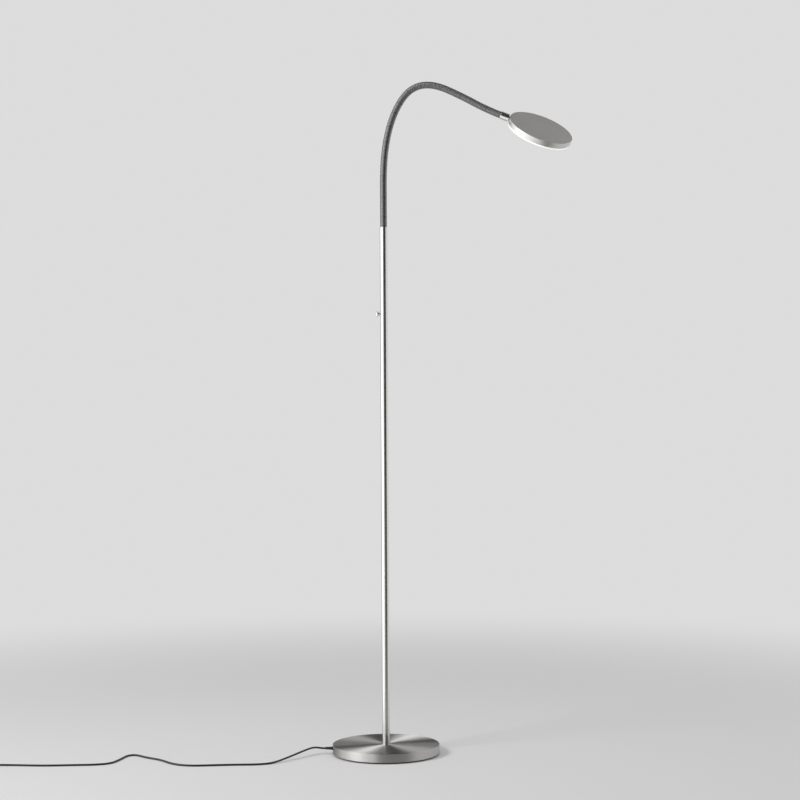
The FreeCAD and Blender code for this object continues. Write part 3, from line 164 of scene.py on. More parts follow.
class ShaderGraph(NodeGraph):
    """The nodes of one material, round its Principled shader."""

    noise_span: Span = (0.3, 0.7)  # the values that a noise pattern mostly keeps to

    def __init__(self, material: bpy.types.Material) -> None:
        """Start from a material that uses nodes."""
        super().__init__(material.node_tree)
        self.shader = self.nodes["Principled BSDF"]

    def surface(self, **values: object) -> None:
        """Set sockets of the shader, by their names with underscores for spaces."""
        for name, value in values.items():
            self.shader.inputs[name.replace("_", " ")].default_value = value

    def object_place(self) -> Socket:
        """The place on the object, in metres."""
        return self.node("TexCoord").outputs["Object"]

    def turning_place(self) -> Socket:
        """The place on the turned surface, round it and along its outline."""
        return self.node("UVMap", uv_map="turning").outputs["UV"]

    def noise(self, place: Socket, scale: Sequence[float], detail: float) -> Socket:
        """Add a noise pattern.

        Args:
            place: The coordinates that it follows.
            scale: Its fineness along each of them.
            detail: How many finer layers it has.

        Returns:
            Its value, about 0.5 on average.
        """
        mapping = self.node("Mapping")
        mapping.inputs["Scale"].default_value = scale
        self.links.new(place, mapping.inputs["Vector"])
        pattern = self.node("TexNoise")
        pattern.inputs["Scale"].default_value = 1.0
        pattern.inputs["Detail"].default_value = detail
        self.links.new(mapping.outputs["Vector"], pattern.inputs["Vector"])
        return pattern.outputs["Fac"]

    def even_noise(self, place: Socket, fineness: float, detail: float) -> Socket:
        """Add a noise pattern that is as fine in every direction."""
        return self.noise(place, (fineness, fineness, fineness), detail)

    def roughen(self, value: Socket, roughness: float, change: float) -> None:
        """Let the roughness follow a noise value.

        Args:
            value: The noise value.
            roughness: The roughness in the middle.
            change: The share by which it goes up and down.
        """
        span = self.node("MapRange")
        span.inputs["From Min"].default_value, span.inputs["From Max"].default_value = self.noise_span
        span.inputs["To Min"].default_value = roughness * (1 - change)
        span.inputs["To Max"].default_value = roughness * (1 + change)
        self.links.new(value, span.inputs["Value"])
        self.links.new(span.outputs["Result"], self.shader.inputs["Roughness"])

    def tint(self, value: Socket, dark: Colour, light: Colour, target: str = "Base Color") -> None:
        """Drive a colour of the shader between two colours.

        Args:
            value: A noise value.
            dark: The colour where the noise is low.
            light: The colour where it is high.
            target: The socket's name.
        """
        ramp = self.node("ValToRGB")
        for element, position, colour in zip(ramp.color_ramp.elements, self.noise_span, (dark, light)):
            element.position = position
            element.color = (*colour, 1.0)
        self.links.new(value, ramp.inputs["Fac"])
        self.links.new(ramp.outputs["Color"], self.shader.inputs[target])

    def relief(self, value: Socket, depth: float) -> None:
        """Raise the surface where a value is high.

        Args:
            value: A noise value.
            depth: How deep the relief is, in metres.
        """
        bump = self.node("Bump")
        bump.inputs["Strength"].default_value = 1.0
        bump.inputs["Distance"].default_value = depth
        self.links.new(value, bump.inputs["Height"])
        self.links.new(bump.outputs["Normal"], self.shader.inputs["Normal"])


def shade(colour: Colour, factor: float) -> Colour:
    """A colour made lighter or darker by a factor."""
    return tuple(min(1.0, channel * factor) for channel in colour)


@dataclass(frozen=True)
class Finish:
    """A surface finish: its name, the part's material slot, its colour and its roughness."""

    name: str
    slot: str
    colour: Colour
    roughness: float

    def material(self) -> bpy.types.Material:
        """Make the material, or find it if it was made before.

        Returns:
            The material.
        """
        made = bpy.data.materials.get(self.name)
        if made is None:
            made = bpy.data.materials.new(self.name)
            made.use_nodes = True
            made.diffuse_color = (*self.colour, 1.0)
            self.wire(ShaderGraph(made))
        return made

    def wire(self, graph: ShaderGraph) -> None:
        """Set up the shader of the material's nodes."""
        raise NotImplementedError


@dataclass(frozen=True)
class TurnedMetal(Finish):
    """Metal with fine lines round its axis, which draw reflections out across them."""

    anisotropy: float = 0.7
    line_depth: float = 0.002 * MM
    line_pitch: float = 0.25 * MM
    line_breaks: float = 6.0
    line_detail: float = 3.0
    line_tint: float = 0.05
    cloud_fineness: float = 9.0
    cloud_detail: float = 2.0
    cloud_roughness: float = 0.08

    def wire(self, graph: ShaderGraph) -> None:
        """Set up the shader.

        Args:
            graph: The material's nodes.
        """
        graph.surface(Metallic=1.0, Anisotropic=self.anisotropy, Anisotropic_Rotation=0.25)
        place = graph.turning_place()
        lines = graph.noise(place, (self.line_breaks, 1 / self.line_pitch, 1.0), self.line_detail)
        clouds = graph.even_noise(graph.object_place(), self.cloud_fineness, self.cloud_detail)
        graph.tint(lines, shade(self.colour, 1 - self.line_tint), shade(self.colour, 1 + self.line_tint))
        graph.roughen(clouds, self.roughness, self.cloud_roughness)
        graph.relief(lines, self.line_depth)
        tangent = graph.node("Tangent", direction_type="UV_MAP", uv_map="turning")
        graph.links.new(tangent.outputs["Tangent"], graph.shader.inputs["Tangent"])


@dataclass(frozen=True)
class Grained(Finish):
    """A surface with a grain all over and faint clouds of tone."""

    grain: float = 0.5 * MM
    grain_depth: float = 0.01 * MM
    grain_detail: float = 3.0
    grain_roughness: float = 0.1
    cloud_tint: float = 0.12
    cloud_fineness: float = 30.0
    cloud_detail: float = 2.0
    metallic: float = 0.0

    def wire(self, graph: ShaderGraph) -> None:
        """Set up the shader.

        Args:
            graph: The material's nodes.
        """
        graph.surface(Metallic=self.metallic)
        place = graph.object_place()
        grain = graph.even_noise(place, 1 / self.grain, self.grain_detail)
        clouds = graph.even_noise(place, self.cloud_fineness, self.cloud_detail)
        graph.tint(clouds, shade(self.colour, 1 - self.cloud_tint), shade(self.colour, 1 + self.cloud_tint))
        graph.roughen(grain, self.roughness, self.grain_roughness)
        graph.relief(grain, self.grain_depth)


@dataclass(frozen=True)
class Moulded(Grained):
    """Moulded plastic, rubber, laminate or rough casting: a soft grain and a little sheen."""


@dataclass(frozen=True)
class BlastedMetal(Grained):
    """Plated metal, or metal with a fine matt grain."""

    grain: float = 0.3 * MM
    grain_depth: float = 0.004 * MM
    grain_detail: float = 2.0
    cloud_tint: float = 0.04
    cloud_fineness: float = 14.0
    cloud_detail: float = 3.0
    metallic: float = 1.0


@dataclass(frozen=True)
class LitOpal(Finish):
    """Opal plastic with the light on behind it."""

    glow: Colour = (1.0, 0.96, 0.90)
    strength: float = 0.5
    cloud_fineness: float = 18.0
    cloud_detail: float = 1.0

    def wire(self, graph: ShaderGraph) -> None:
        """Set up the shader.

        Args:
            graph: The material's nodes.
        """
        graph.surface(Roughness=self.roughness, Emission_Strength=self.strength)
        clouds = graph.even_noise(graph.object_place(), self.cloud_fineness, self.cloud_detail)
        graph.tint(clouds, shade(self.colour, 0.98), self.colour)
        graph.tint(clouds, shade(self.glow, 0.97), self.glow, "Emission Color")


class Palette:
    """The lamp's finishes: turned metals with their anisotropy, then blasted and moulded ones."""

    BASE_NICKEL = TurnedMetal("brushed_nickel_base", "brushed_nickel", (0.60, 0.59, 0.575), 0.50, 0.97)
    RIM_NICKEL = TurnedMetal(
        "brushed_nickel_rim", "brushed_nickel", (0.72, 0.71, 0.69), 0.32, 0.85, line_depth=0.001 * MM
    )
    POLE_NICKEL = TurnedMetal(
        "brushed_nickel_pole", "brushed_nickel", (0.66, 0.65, 0.63), 0.26, 0.85, line_depth=0.001 * MM
    )
    NECK_STEEL = TurnedMetal(
        "dark_satin_steel", "neck_steel", (0.19, 0.19, 0.195), 0.36, 0.3, line_depth=0.0005 * MM
    )
    FERRULE_NICKEL = TurnedMetal("polished_nickel", "ferrule_nickel", (0.72, 0.71, 0.69), 0.14, 0.5)
    BUTTON_METAL = TurnedMetal("polished_button", "button_metal", (0.86, 0.85, 0.83), 0.48, 0.0)
    HEAD_RIM = TurnedMetal("turned_aluminium", "head_aluminium", (0.70, 0.69, 0.67), 0.24, 0.75)
    HEAD_FACE = BlastedMetal("satin_aluminium", "head_aluminium", (0.60, 0.59, 0.575), 0.42)
    ZINC = BlastedMetal("zinc_plating", "zinc_steel", (0.60, 0.61, 0.62), 0.35)
    SPRING_STEEL = BlastedMetal("bright_spring_steel", "spring_steel", (0.62, 0.62, 0.62), 0.22)
    PIN_BRASS = BlastedMetal("pin_brass", "pin_brass", (0.76, 0.62, 0.34), 0.22)
    OPAL = LitOpal("lit_opal", "opal_plastic", (0.90, 0.90, 0.88), 0.35)
    CAST_IRON = Moulded("rough_cast_iron", "cast_weight", (0.16, 0.16, 0.16), 0.70, 1.2 * MM, 0.08 * MM)
    FOAM = Moulded("foam_rubber", "foam_pad", (0.035, 0.035, 0.035), 0.90, 0.6 * MM, 0.05 * MM)
    RUBBER = Moulded("black_rubber", "black_rubber", (0.022, 0.022, 0.023), 0.55)
    CORD = Moulded("cord_jacket", "cord_jacket", (0.014, 0.014, 0.015), 0.42, 0.4 * MM, 0.006 * MM)
    LEAD = Moulded("lead_jacket", "lead_jacket", (0.03, 0.03, 0.03), 0.5)
    BLACK_PLASTIC = Moulded(
        "black_plastic", "black_plastic", (0.028, 0.028, 0.030), 0.48, grain_depth=0.015 * MM
    )
    WHITE_PLASTIC = Moulded("white_plastic", "white_plastic", (0.88, 0.88, 0.86), 0.5)
    LAMINATE = Moulded("board_laminate", "board_laminate", (0.05, 0.22, 0.11), 0.4)
    CHIP = Moulded("light_chip", "led_chip", (0.90, 0.76, 0.28), 0.5)


# ---------------------------------------------------------------- mesh work


def spun(outline: Outline, steps: int, closed: bool = True) -> Mesh:
    """Spin an outline about the Z axis.

    Args:
        outline: Radius and height of each corner.
        steps: How many steps the full turn has.
        closed: Whether the last corner joins the first one; otherwise both are on the axis.

    Returns:
        The closed round mesh, with outward normals.
    """
    mesh = bmesh.new()
    corners = [mesh.verts.new((radius, 0.0, height)) for radius, height in outline]
    for first, second in zip(corners, corners[1:]):
        mesh.edges.new((first, second))
    if closed:
        mesh.edges.new((corners[-1], corners[0]))
    bmesh.ops.spin(
        mesh, geom=mesh.verts[:] + mesh.edges[:], cent=(0, 0, 0), axis=(0, 0, 1), dvec=(0, 0, 0),
        angle=math.tau, steps=steps, use_merge=True, use_duplicate=False,
    )
    bmesh.ops.remove_doubles(mesh, verts=mesh.verts, dist=SAME)
    bmesh.ops.recalc_face_normals(mesh, faces=mesh.faces)
    return mesh


def ring(mesh: Mesh, radius: float, height: float) -> list[Edge]:
    """Find the edges of one level ring of a spun mesh.

    Args:
        mesh: The spun mesh.
        radius: The ring's radius.
        height: The ring's height.

    Returns:
        The edges that lie on the ring.
    """
    return [
        edge
        for edge in mesh.edges
        if all(abs(vertex.co.xy.length - radius) < NEAR for vertex in edge.verts)
        and all(abs(vertex.co.z - height) < NEAR for vertex in edge.verts)
    ]


def extent(edge: Edge, axis: int) -> float:
    """How far an edge runs along one axis."""
    return abs(edge.verts[0].co[axis] - edge.verts[1].co[axis])


def soften(mesh: Mesh, edges: Iterable[Edge], size: float, segments: int) -> None:
    """Round some edges.

    Args:
        mesh: The mesh that they are in.
        edges: The edges to round.
        size: How far the rounding reaches from each edge.
        segments: How many strips the rounding has.
    """
    bmesh.ops.bevel(
        mesh, geom=list(edges), offset=size, offset_type="OFFSET", affect="EDGES",
        segments=segments, profile=0.5, material=-1, clamp_overlap=True,
    )


def map_turning(mesh: Mesh) -> None:
    """Give a spun mesh a UV map: U runs round the axis, V is metres along the outline.

    Args:
        mesh: The spun mesh, still about the Z axis.
    """
    layer = mesh.loops.layers.uv.new("turning")
    for face in mesh.faces:
        turns = [math.atan2(loop.vert.co.y, loop.vert.co.x) / math.tau % 1.0 for loop in face.loops]
        wraps = max(turns) - min(turns) > 0.5
        for loop, turn in zip(face.loops, turns):
            shifted = turn + 1.0 if wraps and turn < 0.5 else turn
            loop[layer].uv = (shifted, loop.vert.co.z - loop.vert.co.xy.length)


def box(size: Sequence[float], middle: Sequence[float]) -> Mesh:
    """Make a box.

    Args:
        size: Its size along X, Y and Z.
        middle: The place of its middle.

    Returns:
        The box.
    """
    mesh = bmesh.new()
    bmesh.ops.create_cube(mesh, size=1.0)
    bmesh.ops.scale(mesh, verts=mesh.verts, vec=size)
    bmesh.ops.translate(mesh, verts=mesh.verts, vec=middle)
    return mesh


def prism(sides: int, radius: float, low: float, high: float) -> Mesh:
    """Make a closed prism on the Z axis.

    Args:
        sides: How many sides it has.
        radius: Distance of its corners from the axis.
        low: Its lower end.
        high: Its upper end.

    Returns:
        The prism.
    """
    mesh = bmesh.new()
    bmesh.ops.create_circle(mesh, cap_ends=True, cap_tris=False, segments=sides, radius=radius)
    bmesh.ops.translate(mesh, verts=mesh.verts, vec=(0, 0, low))
    raised = bmesh.ops.extrude_face_region(mesh, geom=mesh.faces[:])["geom"]
    moved = [item for item in raised if isinstance(item, bmesh.types.BMVert)]
    bmesh.ops.translate(mesh, verts=moved, vec=(0, 0, high - low))
    bmesh.ops.recalc_face_normals(mesh, faces=mesh.faces)
    return mesh


def as_object(mesh: Mesh, name: str, place: Matrix | None = None) -> Piece:
    """Turn a mesh into an object at the origin, smooth, with its place in its vertices.

    Args:
        mesh: The mesh, which is used up.
        name: The object's name.
        place: Where the mesh goes.

    Returns:
        The object.
    """
    if place is not None:
        mesh.transform(place)
    for face in mesh.faces:
        face.smooth = True
    data = bpy.data.meshes.new(name)
    mesh.to_mesh(data)
    mesh.free()
    made = bpy.data.objects.new(name, data)
    bpy.context.scene.collection.objects.link(made)
    return made


def apply_modifier(piece: Piece, kind: str, **settings: object) -> None:
    """Replace a piece's mesh by what one modifier makes of it.

    Args:
        piece: The piece, which has no modifier afterwards.
        kind: The modifier's type.
        settings: Properties to set on it.
    """
    modifier = piece.modifiers.new(kind.lower(), kind)
    for name, value in settings.items():
        setattr(modifier, name, value)
    graph = bpy.context.evaluated_depsgraph_get()
    finished = bpy.data.meshes.new_from_object(
        piece.evaluated_get(graph), preserve_all_data_layers=True, depsgraph=graph
    )
    piece.modifiers.clear()
    piece.data = finished


def carve(piece: Piece, cutter: Mesh, place: Matrix) -> None:
    """Cut a shape out of a piece.

    Args:
        piece: The piece that is cut.
        cutter: The shape, which is used up.
        place: Where the shape goes.
    """
    cutter.transform(place)
    bmesh.ops.recalc_face_normals(cutter, faces=cutter.faces)
    tool = bpy.data.objects.new("cutter", bpy.data.meshes.new("cutter"))
    cutter.to_mesh(tool.data)
    cutter.free()
    bpy.context.scene.collection.objects.link(tool)
    apply_modifier(piece, "BOOLEAN", operation="DIFFERENCE", solver="EXACT", object=tool)
    bpy.data.objects.remove(tool)


def even_shading(piece: Piece) -> None:
    """Let large faces set the shading, so that flats stay flat beside rounded edges."""
    apply_modifier(piece, "WEIGHTED_NORMAL", mode="FACE_AREA", weight=100)


def turned(
    name: str, outline: Outline, steps: int, closed: bool = True,
    rounds: Sequence[tuple[float, float, float, int]] = (), mapped: bool = False,
    face_above: float | None = None, place: Matrix | None = None, cuts: Sequence[tuple[Mesh, Matrix]] = (),
) -> Piece:
    """Make a round piece, as if on a lathe.

    Args:
        name: The piece's name.
        outline: Radius and height of each corner.
        steps: How many steps the full turn has.
        closed: Whether the last corner joins the first one; otherwise both are on the axis.
        rounds: Radius and height of each ring to round, and the size and strips of the rounding.
        mapped: Whether its finish follows the turning.
        face_above: Above this height, faces that look up have the first of two finishes.
        place: Where the piece goes.
        cuts: Shapes to cut out of it, and where they go.

    Returns:
        The piece.
    """
    mesh = spun(outline, steps, closed)
    for radius, height, size, segments in rounds:
        soften(mesh, ring(mesh, radius, height), size, segments)
    if mapped:
        map_turning(mesh)
    if face_above is not None:
        for face in mesh.faces:
            upper = face.normal.z > FACING and face.calc_center_median().z > face_above
            face.material_index = 0 if upper else 1
    piece = as_object(mesh, name, place)
    for shape, shape_place in cuts:
        carve(piece, shape, shape_place)
    even_shading(piece)
    return piece


def rod(radius: float, low: float, high: float) -> Outline:
    """The outline of a solid rod, for spinning."""
    return [(0.0, low), (radius, low), (radius, high), (0.0, high)]


def dressed(piece: Piece, finishes: Sequence[Finish], body: Body | None, *nodes: str) -> Piece:
    """Give a piece its finish and let it ride.

    Args:
        piece: The piece, in place.
        finishes: Its finishes, in the order of its materials.
        body: The body that it rides on, or None for a piece between two bodies, which then rides on none.
        nodes: The built parts that it is shown in place of.

    Returns:
        The piece.
    """
    if nodes:
        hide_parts(*nodes)
    piece.data.materials.clear()
    for finish in finishes:
        piece.data.materials.append(finish.material())
    if body is not None:
        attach(piece, body.value)
    LOG.info("%s: %s", piece.name, finishes[0].name)
    return piece


# ---------------------------------------------------------------- studio


@dataclass
class Studio:
    """The camera, the plain pale floor and background, and the soft light.

    Metal sees cards round the lamp, each given by a direction in degrees and a level: 0 degrees
    is towards the camera, and positive directions are on the lamp's +X side.
    """

    eye: Place = (0.033, -3.750, 0.7488)
    lens: float = 79.65
    sensor: float = 36.0
    sight: float = 60.0
    lean: float = 0.0049  # radians by which the camera leans to its right
    backdrop: float = 0.72
    ambient: float = 0.30
    floor_colour: float = 0.70
    floor_radius: float = 3.0
    floor_sides: int = 96
    fade: Span = (0.7, 2.6)  # metres from the lamp where the floor turns into backdrop
    gloss_fade: Span = (0.35, 0.9)  # metres where metal sees the cards, not the floor
    level_cards: Outline = (
        (-180, 0.75), (-168, 0.75), (-152, 0.36), (-124, 0.36), (-108, 1.65), (-94, 1.65), (-84, 2.6),
        (-60, 2.6), (-50, 1.65), (-27, 1.65), (-14, 0.05), (55, 0.05), (68, 0.95), (136, 0.95),
        (152, 0.75), (180, 0.75),
    )
    high_cards: Outline = (
        (-180, 0.03), (-140, 0.03), (-112, 1.6), (-94, 1.6), (-84, 3.4), (-60, 3.4), (-50, 1.6),
        (-27, 1.6), (-15, 0.05), (55, 0.05), (68, 0.95), (126, 1.0), (142, 0.5), (160, 0.42),
        (171, 0.03), (180, 0.03),
    )
    low_cards: Outline = (
        (-180, 0.6), (-124, 0.5), (-108, 1.5), (-40, 1.5), (-12, 0.9), (2, 0.9), (16, 0.08), (50, 0.08),
        (75, 0.8), (140, 0.75), (180, 0.6),
    )
    overhead: float = 0.07
    high_from: Span = (0.13, 0.19)  # height of a direction where the high cards take over
    low_from: Span = (0.12, 0.34)  # depth of a direction where the low cards take over
    overhead_from: Span = (0.78, 0.92)
    # Name, place, point that it faces, side and power in watts of each soft box.
    soft_boxes: tuple[tuple[str, Place, Place, float, float], ...] = (
        ("left_box", (-2.6, -1.8, 2.4), (0, 0, 0.5), 1.2, 84),
        ("right_box", (2.6, -0.2, 2.2), (0, 0, 0.6), 1.6, 14),
        ("top_box", (0.2, 0.4, 3.4), (0.1, 0, 0), 2.4, 30),
    )

    def make_camera(self) -> None:
        """Put the camera where the photograph was taken from."""
        data = bpy.data.cameras.new("camera")
        data.lens = self.lens
        data.sensor_width = self.sensor
        data.clip_end = self.sight
        camera = bpy.data.objects.new("camera", data)
        camera.location = self.eye
        camera.rotation_euler = (math.pi / 2, self.lean, 0.0)
        bpy.context.scene.collection.objects.link(camera)
        bpy.context.scene.camera = camera

    def make_world(self) -> None:
        """A plain backdrop for the eye, plain light, and the cards for metal."""
        world = bpy.data.worlds.new("studio")
        world.use_nodes = True
        world.cycles.sampling_method = "NONE"
        bpy.context.scene.world = world
        graph = NodeGraph(world.node_tree)
        graph.nodes.clear()
        direction = graph.node("SeparateXYZ")
        graph.links.new(graph.node("TexCoord").outputs["Generated"], direction.inputs["Vector"])
        towards_eye = graph.arithmetic("MULTIPLY", direction.outputs["Y"], -1.0)
        bearing = graph.arithmetic("ARCTAN2", direction.outputs["X"], towards_eye)
        turn = graph.arithmetic("ADD", graph.arithmetic("DIVIDE", bearing, math.tau), 0.5)
        height = direction.outputs["Z"]
        depth = graph.arithmetic("MULTIPLY", height, -1.0)
        level, high, low = [
            graph.greys(turn, [(degrees / 360 + 0.5, card) for degrees, card in cards])
            for cards in (self.level_cards, self.high_cards, self.low_cards)
        ]
        gloss = level
        for reach, (start, end), seen in (
            (height, self.high_from, high),
            (depth, self.low_from, low),
            (height, self.overhead_from, self.overhead),
        ):
            gloss = graph.mixed(graph.greys(reach, [(start, 0.0), (end, 1.0)]), gloss, seen)
        ray = graph.node("LightPath").outputs
        mirrored = graph.arithmetic("MAXIMUM", ray["Is Glossy Ray"], ray["Is Transmission Ray"])
        light = graph.mixed(mirrored, self.ambient, gloss)
        background = graph.node("Background")
        graph.links.new(graph.mixed(ray["Is Camera Ray"], light, self.backdrop), background.inputs["Color"])
        graph.links.new(background.outputs["Background"], graph.node("OutputWorld").inputs["Surface"])

    def make_floor(self) -> None:
        """A plain pale floor that turns into the backdrop away from the lamp."""
        mesh = bmesh.new()
        bmesh.ops.create_circle(mesh, cap_ends=True, segments=self.floor_sides, radius=self.floor_radius)
        floor = as_object(mesh, "floor")
        material = bpy.data.materials.new("pale_floor")
        material.use_nodes = True
        floor.data.materials.append(material)
        graph = ShaderGraph(material)
        graph.surface(Base_Color=(self.floor_colour,) * 3 + (1.0,), Roughness=0.85, Specular_IOR_Level=0.1)
        ray = graph.node("LightPath").outputs
        seen = graph.arithmetic("MAXIMUM", ray["Is Camera Ray"], ray["Is Transmission Ray"])
        backdrop = graph.node("Emission")
        backdrop.inputs["Color"].default_value = (self.backdrop,) * 3 + (1.0,)
        plain = self.fading(graph, seen, self.fade, graph.shader.outputs["BSDF"], backdrop)
        clear = graph.node("BsdfTransparent")
        whole = self.fading(graph, ray["Is Glossy Ray"], self.gloss_fade, plain, clear)
        graph.links.new(whole, graph.nodes["Material Output"].inputs["Surface"])

    def fading(self, graph: ShaderGraph, rays: Socket, reach: Span, near: Socket, far: Node) -> Socket:
        """Turn one shader into another away from the lamp, for some rays.

        Args:
            graph: The material's nodes.
            rays: 1 for the rays that see the change.
            reach: The distances between which it happens.
            near: The shader near the lamp.
            far: The shader far from it.

        Returns:
            The shader that fades.
        """
        distance = graph.node("VectorMath", operation="LENGTH")
        graph.links.new(graph.object_place(), distance.inputs[0])
        change = graph.node("MapRange", interpolation_type="SMOOTHSTEP")
        change.inputs["From Min"].default_value, change.inputs["From Max"].default_value = reach
        graph.links.new(distance.outputs["Value"], change.inputs["Value"])
        mix = graph.node("MixShader")
        graph.links.new(graph.arithmetic("MULTIPLY", change.outputs["Result"], rays), mix.inputs["Fac"])
        graph.links.new(near, mix.inputs[1])
        graph.links.new(far.outputs[0], mix.inputs[2])
        return mix.outputs["Shader"]

    def make_lamps(self) -> None:
        """Hang the square soft boxes, which neither the eye nor metal sees."""
        for name, place, aim, size, power in self.soft_boxes:
            data = bpy.data.lights.new(name, "AREA")
            data.size = size
            data.energy = power
            lamp = bpy.data.objects.new(name, data)
            lamp.location = place
            lamp.rotation_euler = (Vector(aim) - Vector(place)).to_track_quat("-Z", "Y").to_euler()
            lamp.visible_glossy = False
            lamp.visible_camera = False
            bpy.context.scene.collection.objects.link(lamp)

    def make(self) -> None:
        """Make the floor, the light and the view settings."""
        bpy.context.scene.view_settings.view_transform = "Standard"
        self.make_world()
        self.make_floor()
        self.make_lamps()


# ---------------------------------------------------------------- supply cord


@dataclass(frozen=True)
class GroovedTaper:
    """The tapered stretch of a rubber sleeve round a cord, with flexing grooves."""

    low: float
    high: float
    low_radius: float
    high_radius: float
    grooves: int
    margin: float
    groove_depth: float
    groove_flank: float
    groove_share: float = 0.4

    def radius(self, height: float) -> float:
        """The sleeve's outer radius at one height."""
        share = (height - self.low) / (self.high - self.low)
        return self.low_radius + (self.high_radius - self.low_radius) * share

    def corners(self) -> list[tuple[float, float]]:
        """Lay out the grooves.

        Returns:
            Radius and height of their corners, upwards.
        """
        pitch = (self.high - self.low - 2 * self.margin) / self.grooves
        corners = []
        for index in range(self.grooves):
            low = self.low + self.margin + index * pitch
            high = low + pitch * self.groove_share
            corners += [
                (self.radius(low), low),
                (self.radius(low) - self.groove_depth, low + self.groove_flank),
                (self.radius(high) - self.groove_depth, high - self.groove_flank),
                (self.radius(high), high),
            ]
        return corners


@dataclass
class SupplyCord:
    """The thin cord, and its put-away coil with its tie."""

    diameter: float = 4 * MM
    length: float = 2.148
    route: tuple[Place, ...] = (
        (-0.129, 0.0, 0.0119), (-0.137, 0.0, 0.0119), (-0.148, -0.0025, 0.0144),
        (-0.159, -0.015, 0.0153), (-0.178, -0.041, 0.0123), (-0.206, -0.074, 0.0065),
        (-0.232, -0.103, 0.00205), (-0.262, -0.1165, 0.00205), (-0.312, -0.117, 0.00205),
        (-0.360, -0.122, 0.00205), (-0.402, -0.126, 0.00205), (-0.438, -0.109, 0.00205),
        (-0.469, -0.064, 0.00205), (-0.495, -0.045, 0.00205), (-0.511, -0.030, 0.00205),
        (-0.525, -0.0145, 0.00205), (-0.5355, -0.013, 0.00205), (-0.544, -0.019, 0.00205),
        (-0.5495, -0.036, 0.00205), (-0.556, -0.066, 0.00205), (-0.568, -0.100, 0.00205),
        (-0.600, -0.111, 0.00205), (-0.640, -0.113, 0.00205), (-0.682, -0.1165, 0.00205),
        (-0.720, -0.116, 0.00205), (-0.762, -0.1105, 0.00205), (-0.802, -0.1095, 0.0024),
        (-0.826, -0.109, 0.0035), (-0.848, -0.109, 0.0035),
    )
    tail: tuple[Place, ...] = (
        (-0.868, -0.11125, 0.0164), (-0.886, -0.11925, 0.0136), (-0.897, -0.13625, 0.0114),
        (-0.900, -0.15825, 0.012), (-0.900, -0.17825, 0.012), (-0.900, -0.19625, 0.012),
        (-0.900, -0.21425, 0.012),
    )
    coil_middle_radius: float = 22.5 * MM
    coil_pitch: float = 4.5 * MM
    coil_layers: int = 4
    points_per_half_turn: int = 8
    tie_width: float = 5 * MM
    tie_thickness: float = 1 * MM
    tie_gap: float = 0.5 * MM

    def stations(self) -> list[tuple[float, int]]:
        """Follow the coil in and out again by turns.

        Returns:
            Radius and layer of the cord at each half turn.
        """
        step = self.coil_pitch / 2
        inner = self.coil_middle_radius - 1.5 * step
        inwards = [inner + 3 * step, inner + 2 * step, inner + step, inner]
        stations = [(inner + 4 * step, 0)]
        for layer in range(self.coil_layers):
            order = inwards if layer % 2 == 0 else inwards[::-1]
            stations += [(radius, layer) for radius in order]
        return stations

    def coil_centre(self) -> Vector:
        """The coil's centre, at the height of its lowest turns."""
        return Vector(self.route[-1]) - Vector((0, self.stations()[0][0], 0))

    def coil_points(self) -> list[Vector]:
        """Lay out the coil's turns.

        Returns:
            The control points, set out so far that the smooth line has the coil's radius.
        """
        centre = self.coil_centre()
        stations = self.stations()
        step = math.pi / self.points_per_half_turn
        outset = 1 / math.cos(step / 2)
        points = []
        for index, ((start, low), (end, high)) in enumerate(zip(stations, stations[1:])):
            climb_bulge = 0.0
            if high != low:
                climb_bulge = self.coil_pitch / 4 * (1 if high % 2 == 0 else -1)
            for count in range(1, self.points_per_half_turn + 1):
                angle = count * step
                radius = (start + end) / 2 + (start - end) / 2 * math.cos(angle)
                radius = (radius + climb_bulge * math.sin(angle)) * outset
                bearing = math.pi / 2 + index * math.pi + angle
                rise = (low + (high - low) * (1 - math.cos(angle)) / 2) * self.coil_pitch
                points.append(centre + Vector((radius * math.cos(bearing), radius * math.sin(bearing), rise)))
        return points

    def make_cord(self) -> Piece:
        """Lay the cord as one smooth line.

        Returns:
            The cord.
        """
        points = [Vector(point) for point in self.route]
        points += self.coil_points()
        points += [Vector(point) for point in self.tail]
        curve = bpy.data.curves.new("supply_cord", "CURVE")
        curve.dimensions = "3D"
        curve.bevel_depth = self.diameter / 2
        curve.bevel_resolution = 5
        curve.resolution_u = 6
        curve.use_fill_caps = True
        spline = curve.splines.new("NURBS")
        spline.points.add(len(points) - 1)
        for target, point in zip(spline.points, points):
            target.co = (*point, 1.0)
        spline.order_u = 3
        spline.use_endpoint_u = True
        cord = bpy.data.objects.new("supply_cord", curve)
        bpy.context.scene.collection.objects.link(cord)
        return dressed(cord, [Palette.CORD], Body.STAND, "cord", "cord_coil", "cord_tail")

    def make_tie(self) -> Piece:
        """Make the flat band round the turns at the coil's -Y side.

        Returns:
            The tie.
        """
        centre = self.coil_centre()
        radii = [radius for index, (radius, _) in enumerate(self.stations()) if index % 2 == 1]
        reach = self.diameter / 2 + self.tie_gap + self.tie_thickness
        depth = max(radii) - min(radii) + 2 * reach
        height = (self.coil_layers - 1) * self.coil_pitch + 2 * reach
        middle_y = centre.y - (max(radii) + min(radii)) / 2
        mesh = box((self.tie_width, depth, height), (centre.x, middle_y, centre.z - reach + height / 2))
        along = [edge for edge in mesh.edges if extent(edge, 0) > self.tie_width / 2]
        soften(mesh, along, 2 * self.tie_thickness, segments=6)
        ends = [face for face in mesh.faces if abs(face.normal.x) > FACING]
        bmesh.ops.delete(mesh, geom=ends, context="FACES")
        bmesh.ops.recalc_face_normals(mesh, faces=mesh.faces)
        tie = as_object(mesh, "coil_tie")
        apply_modifier(tie, "SOLIDIFY", thickness=self.tie_thickness, offset=-1.0)
        even_shading(tie)
        return dressed(tie, [Palette.BLACK_PLASTIC], Body.STAND, "cord_tie")

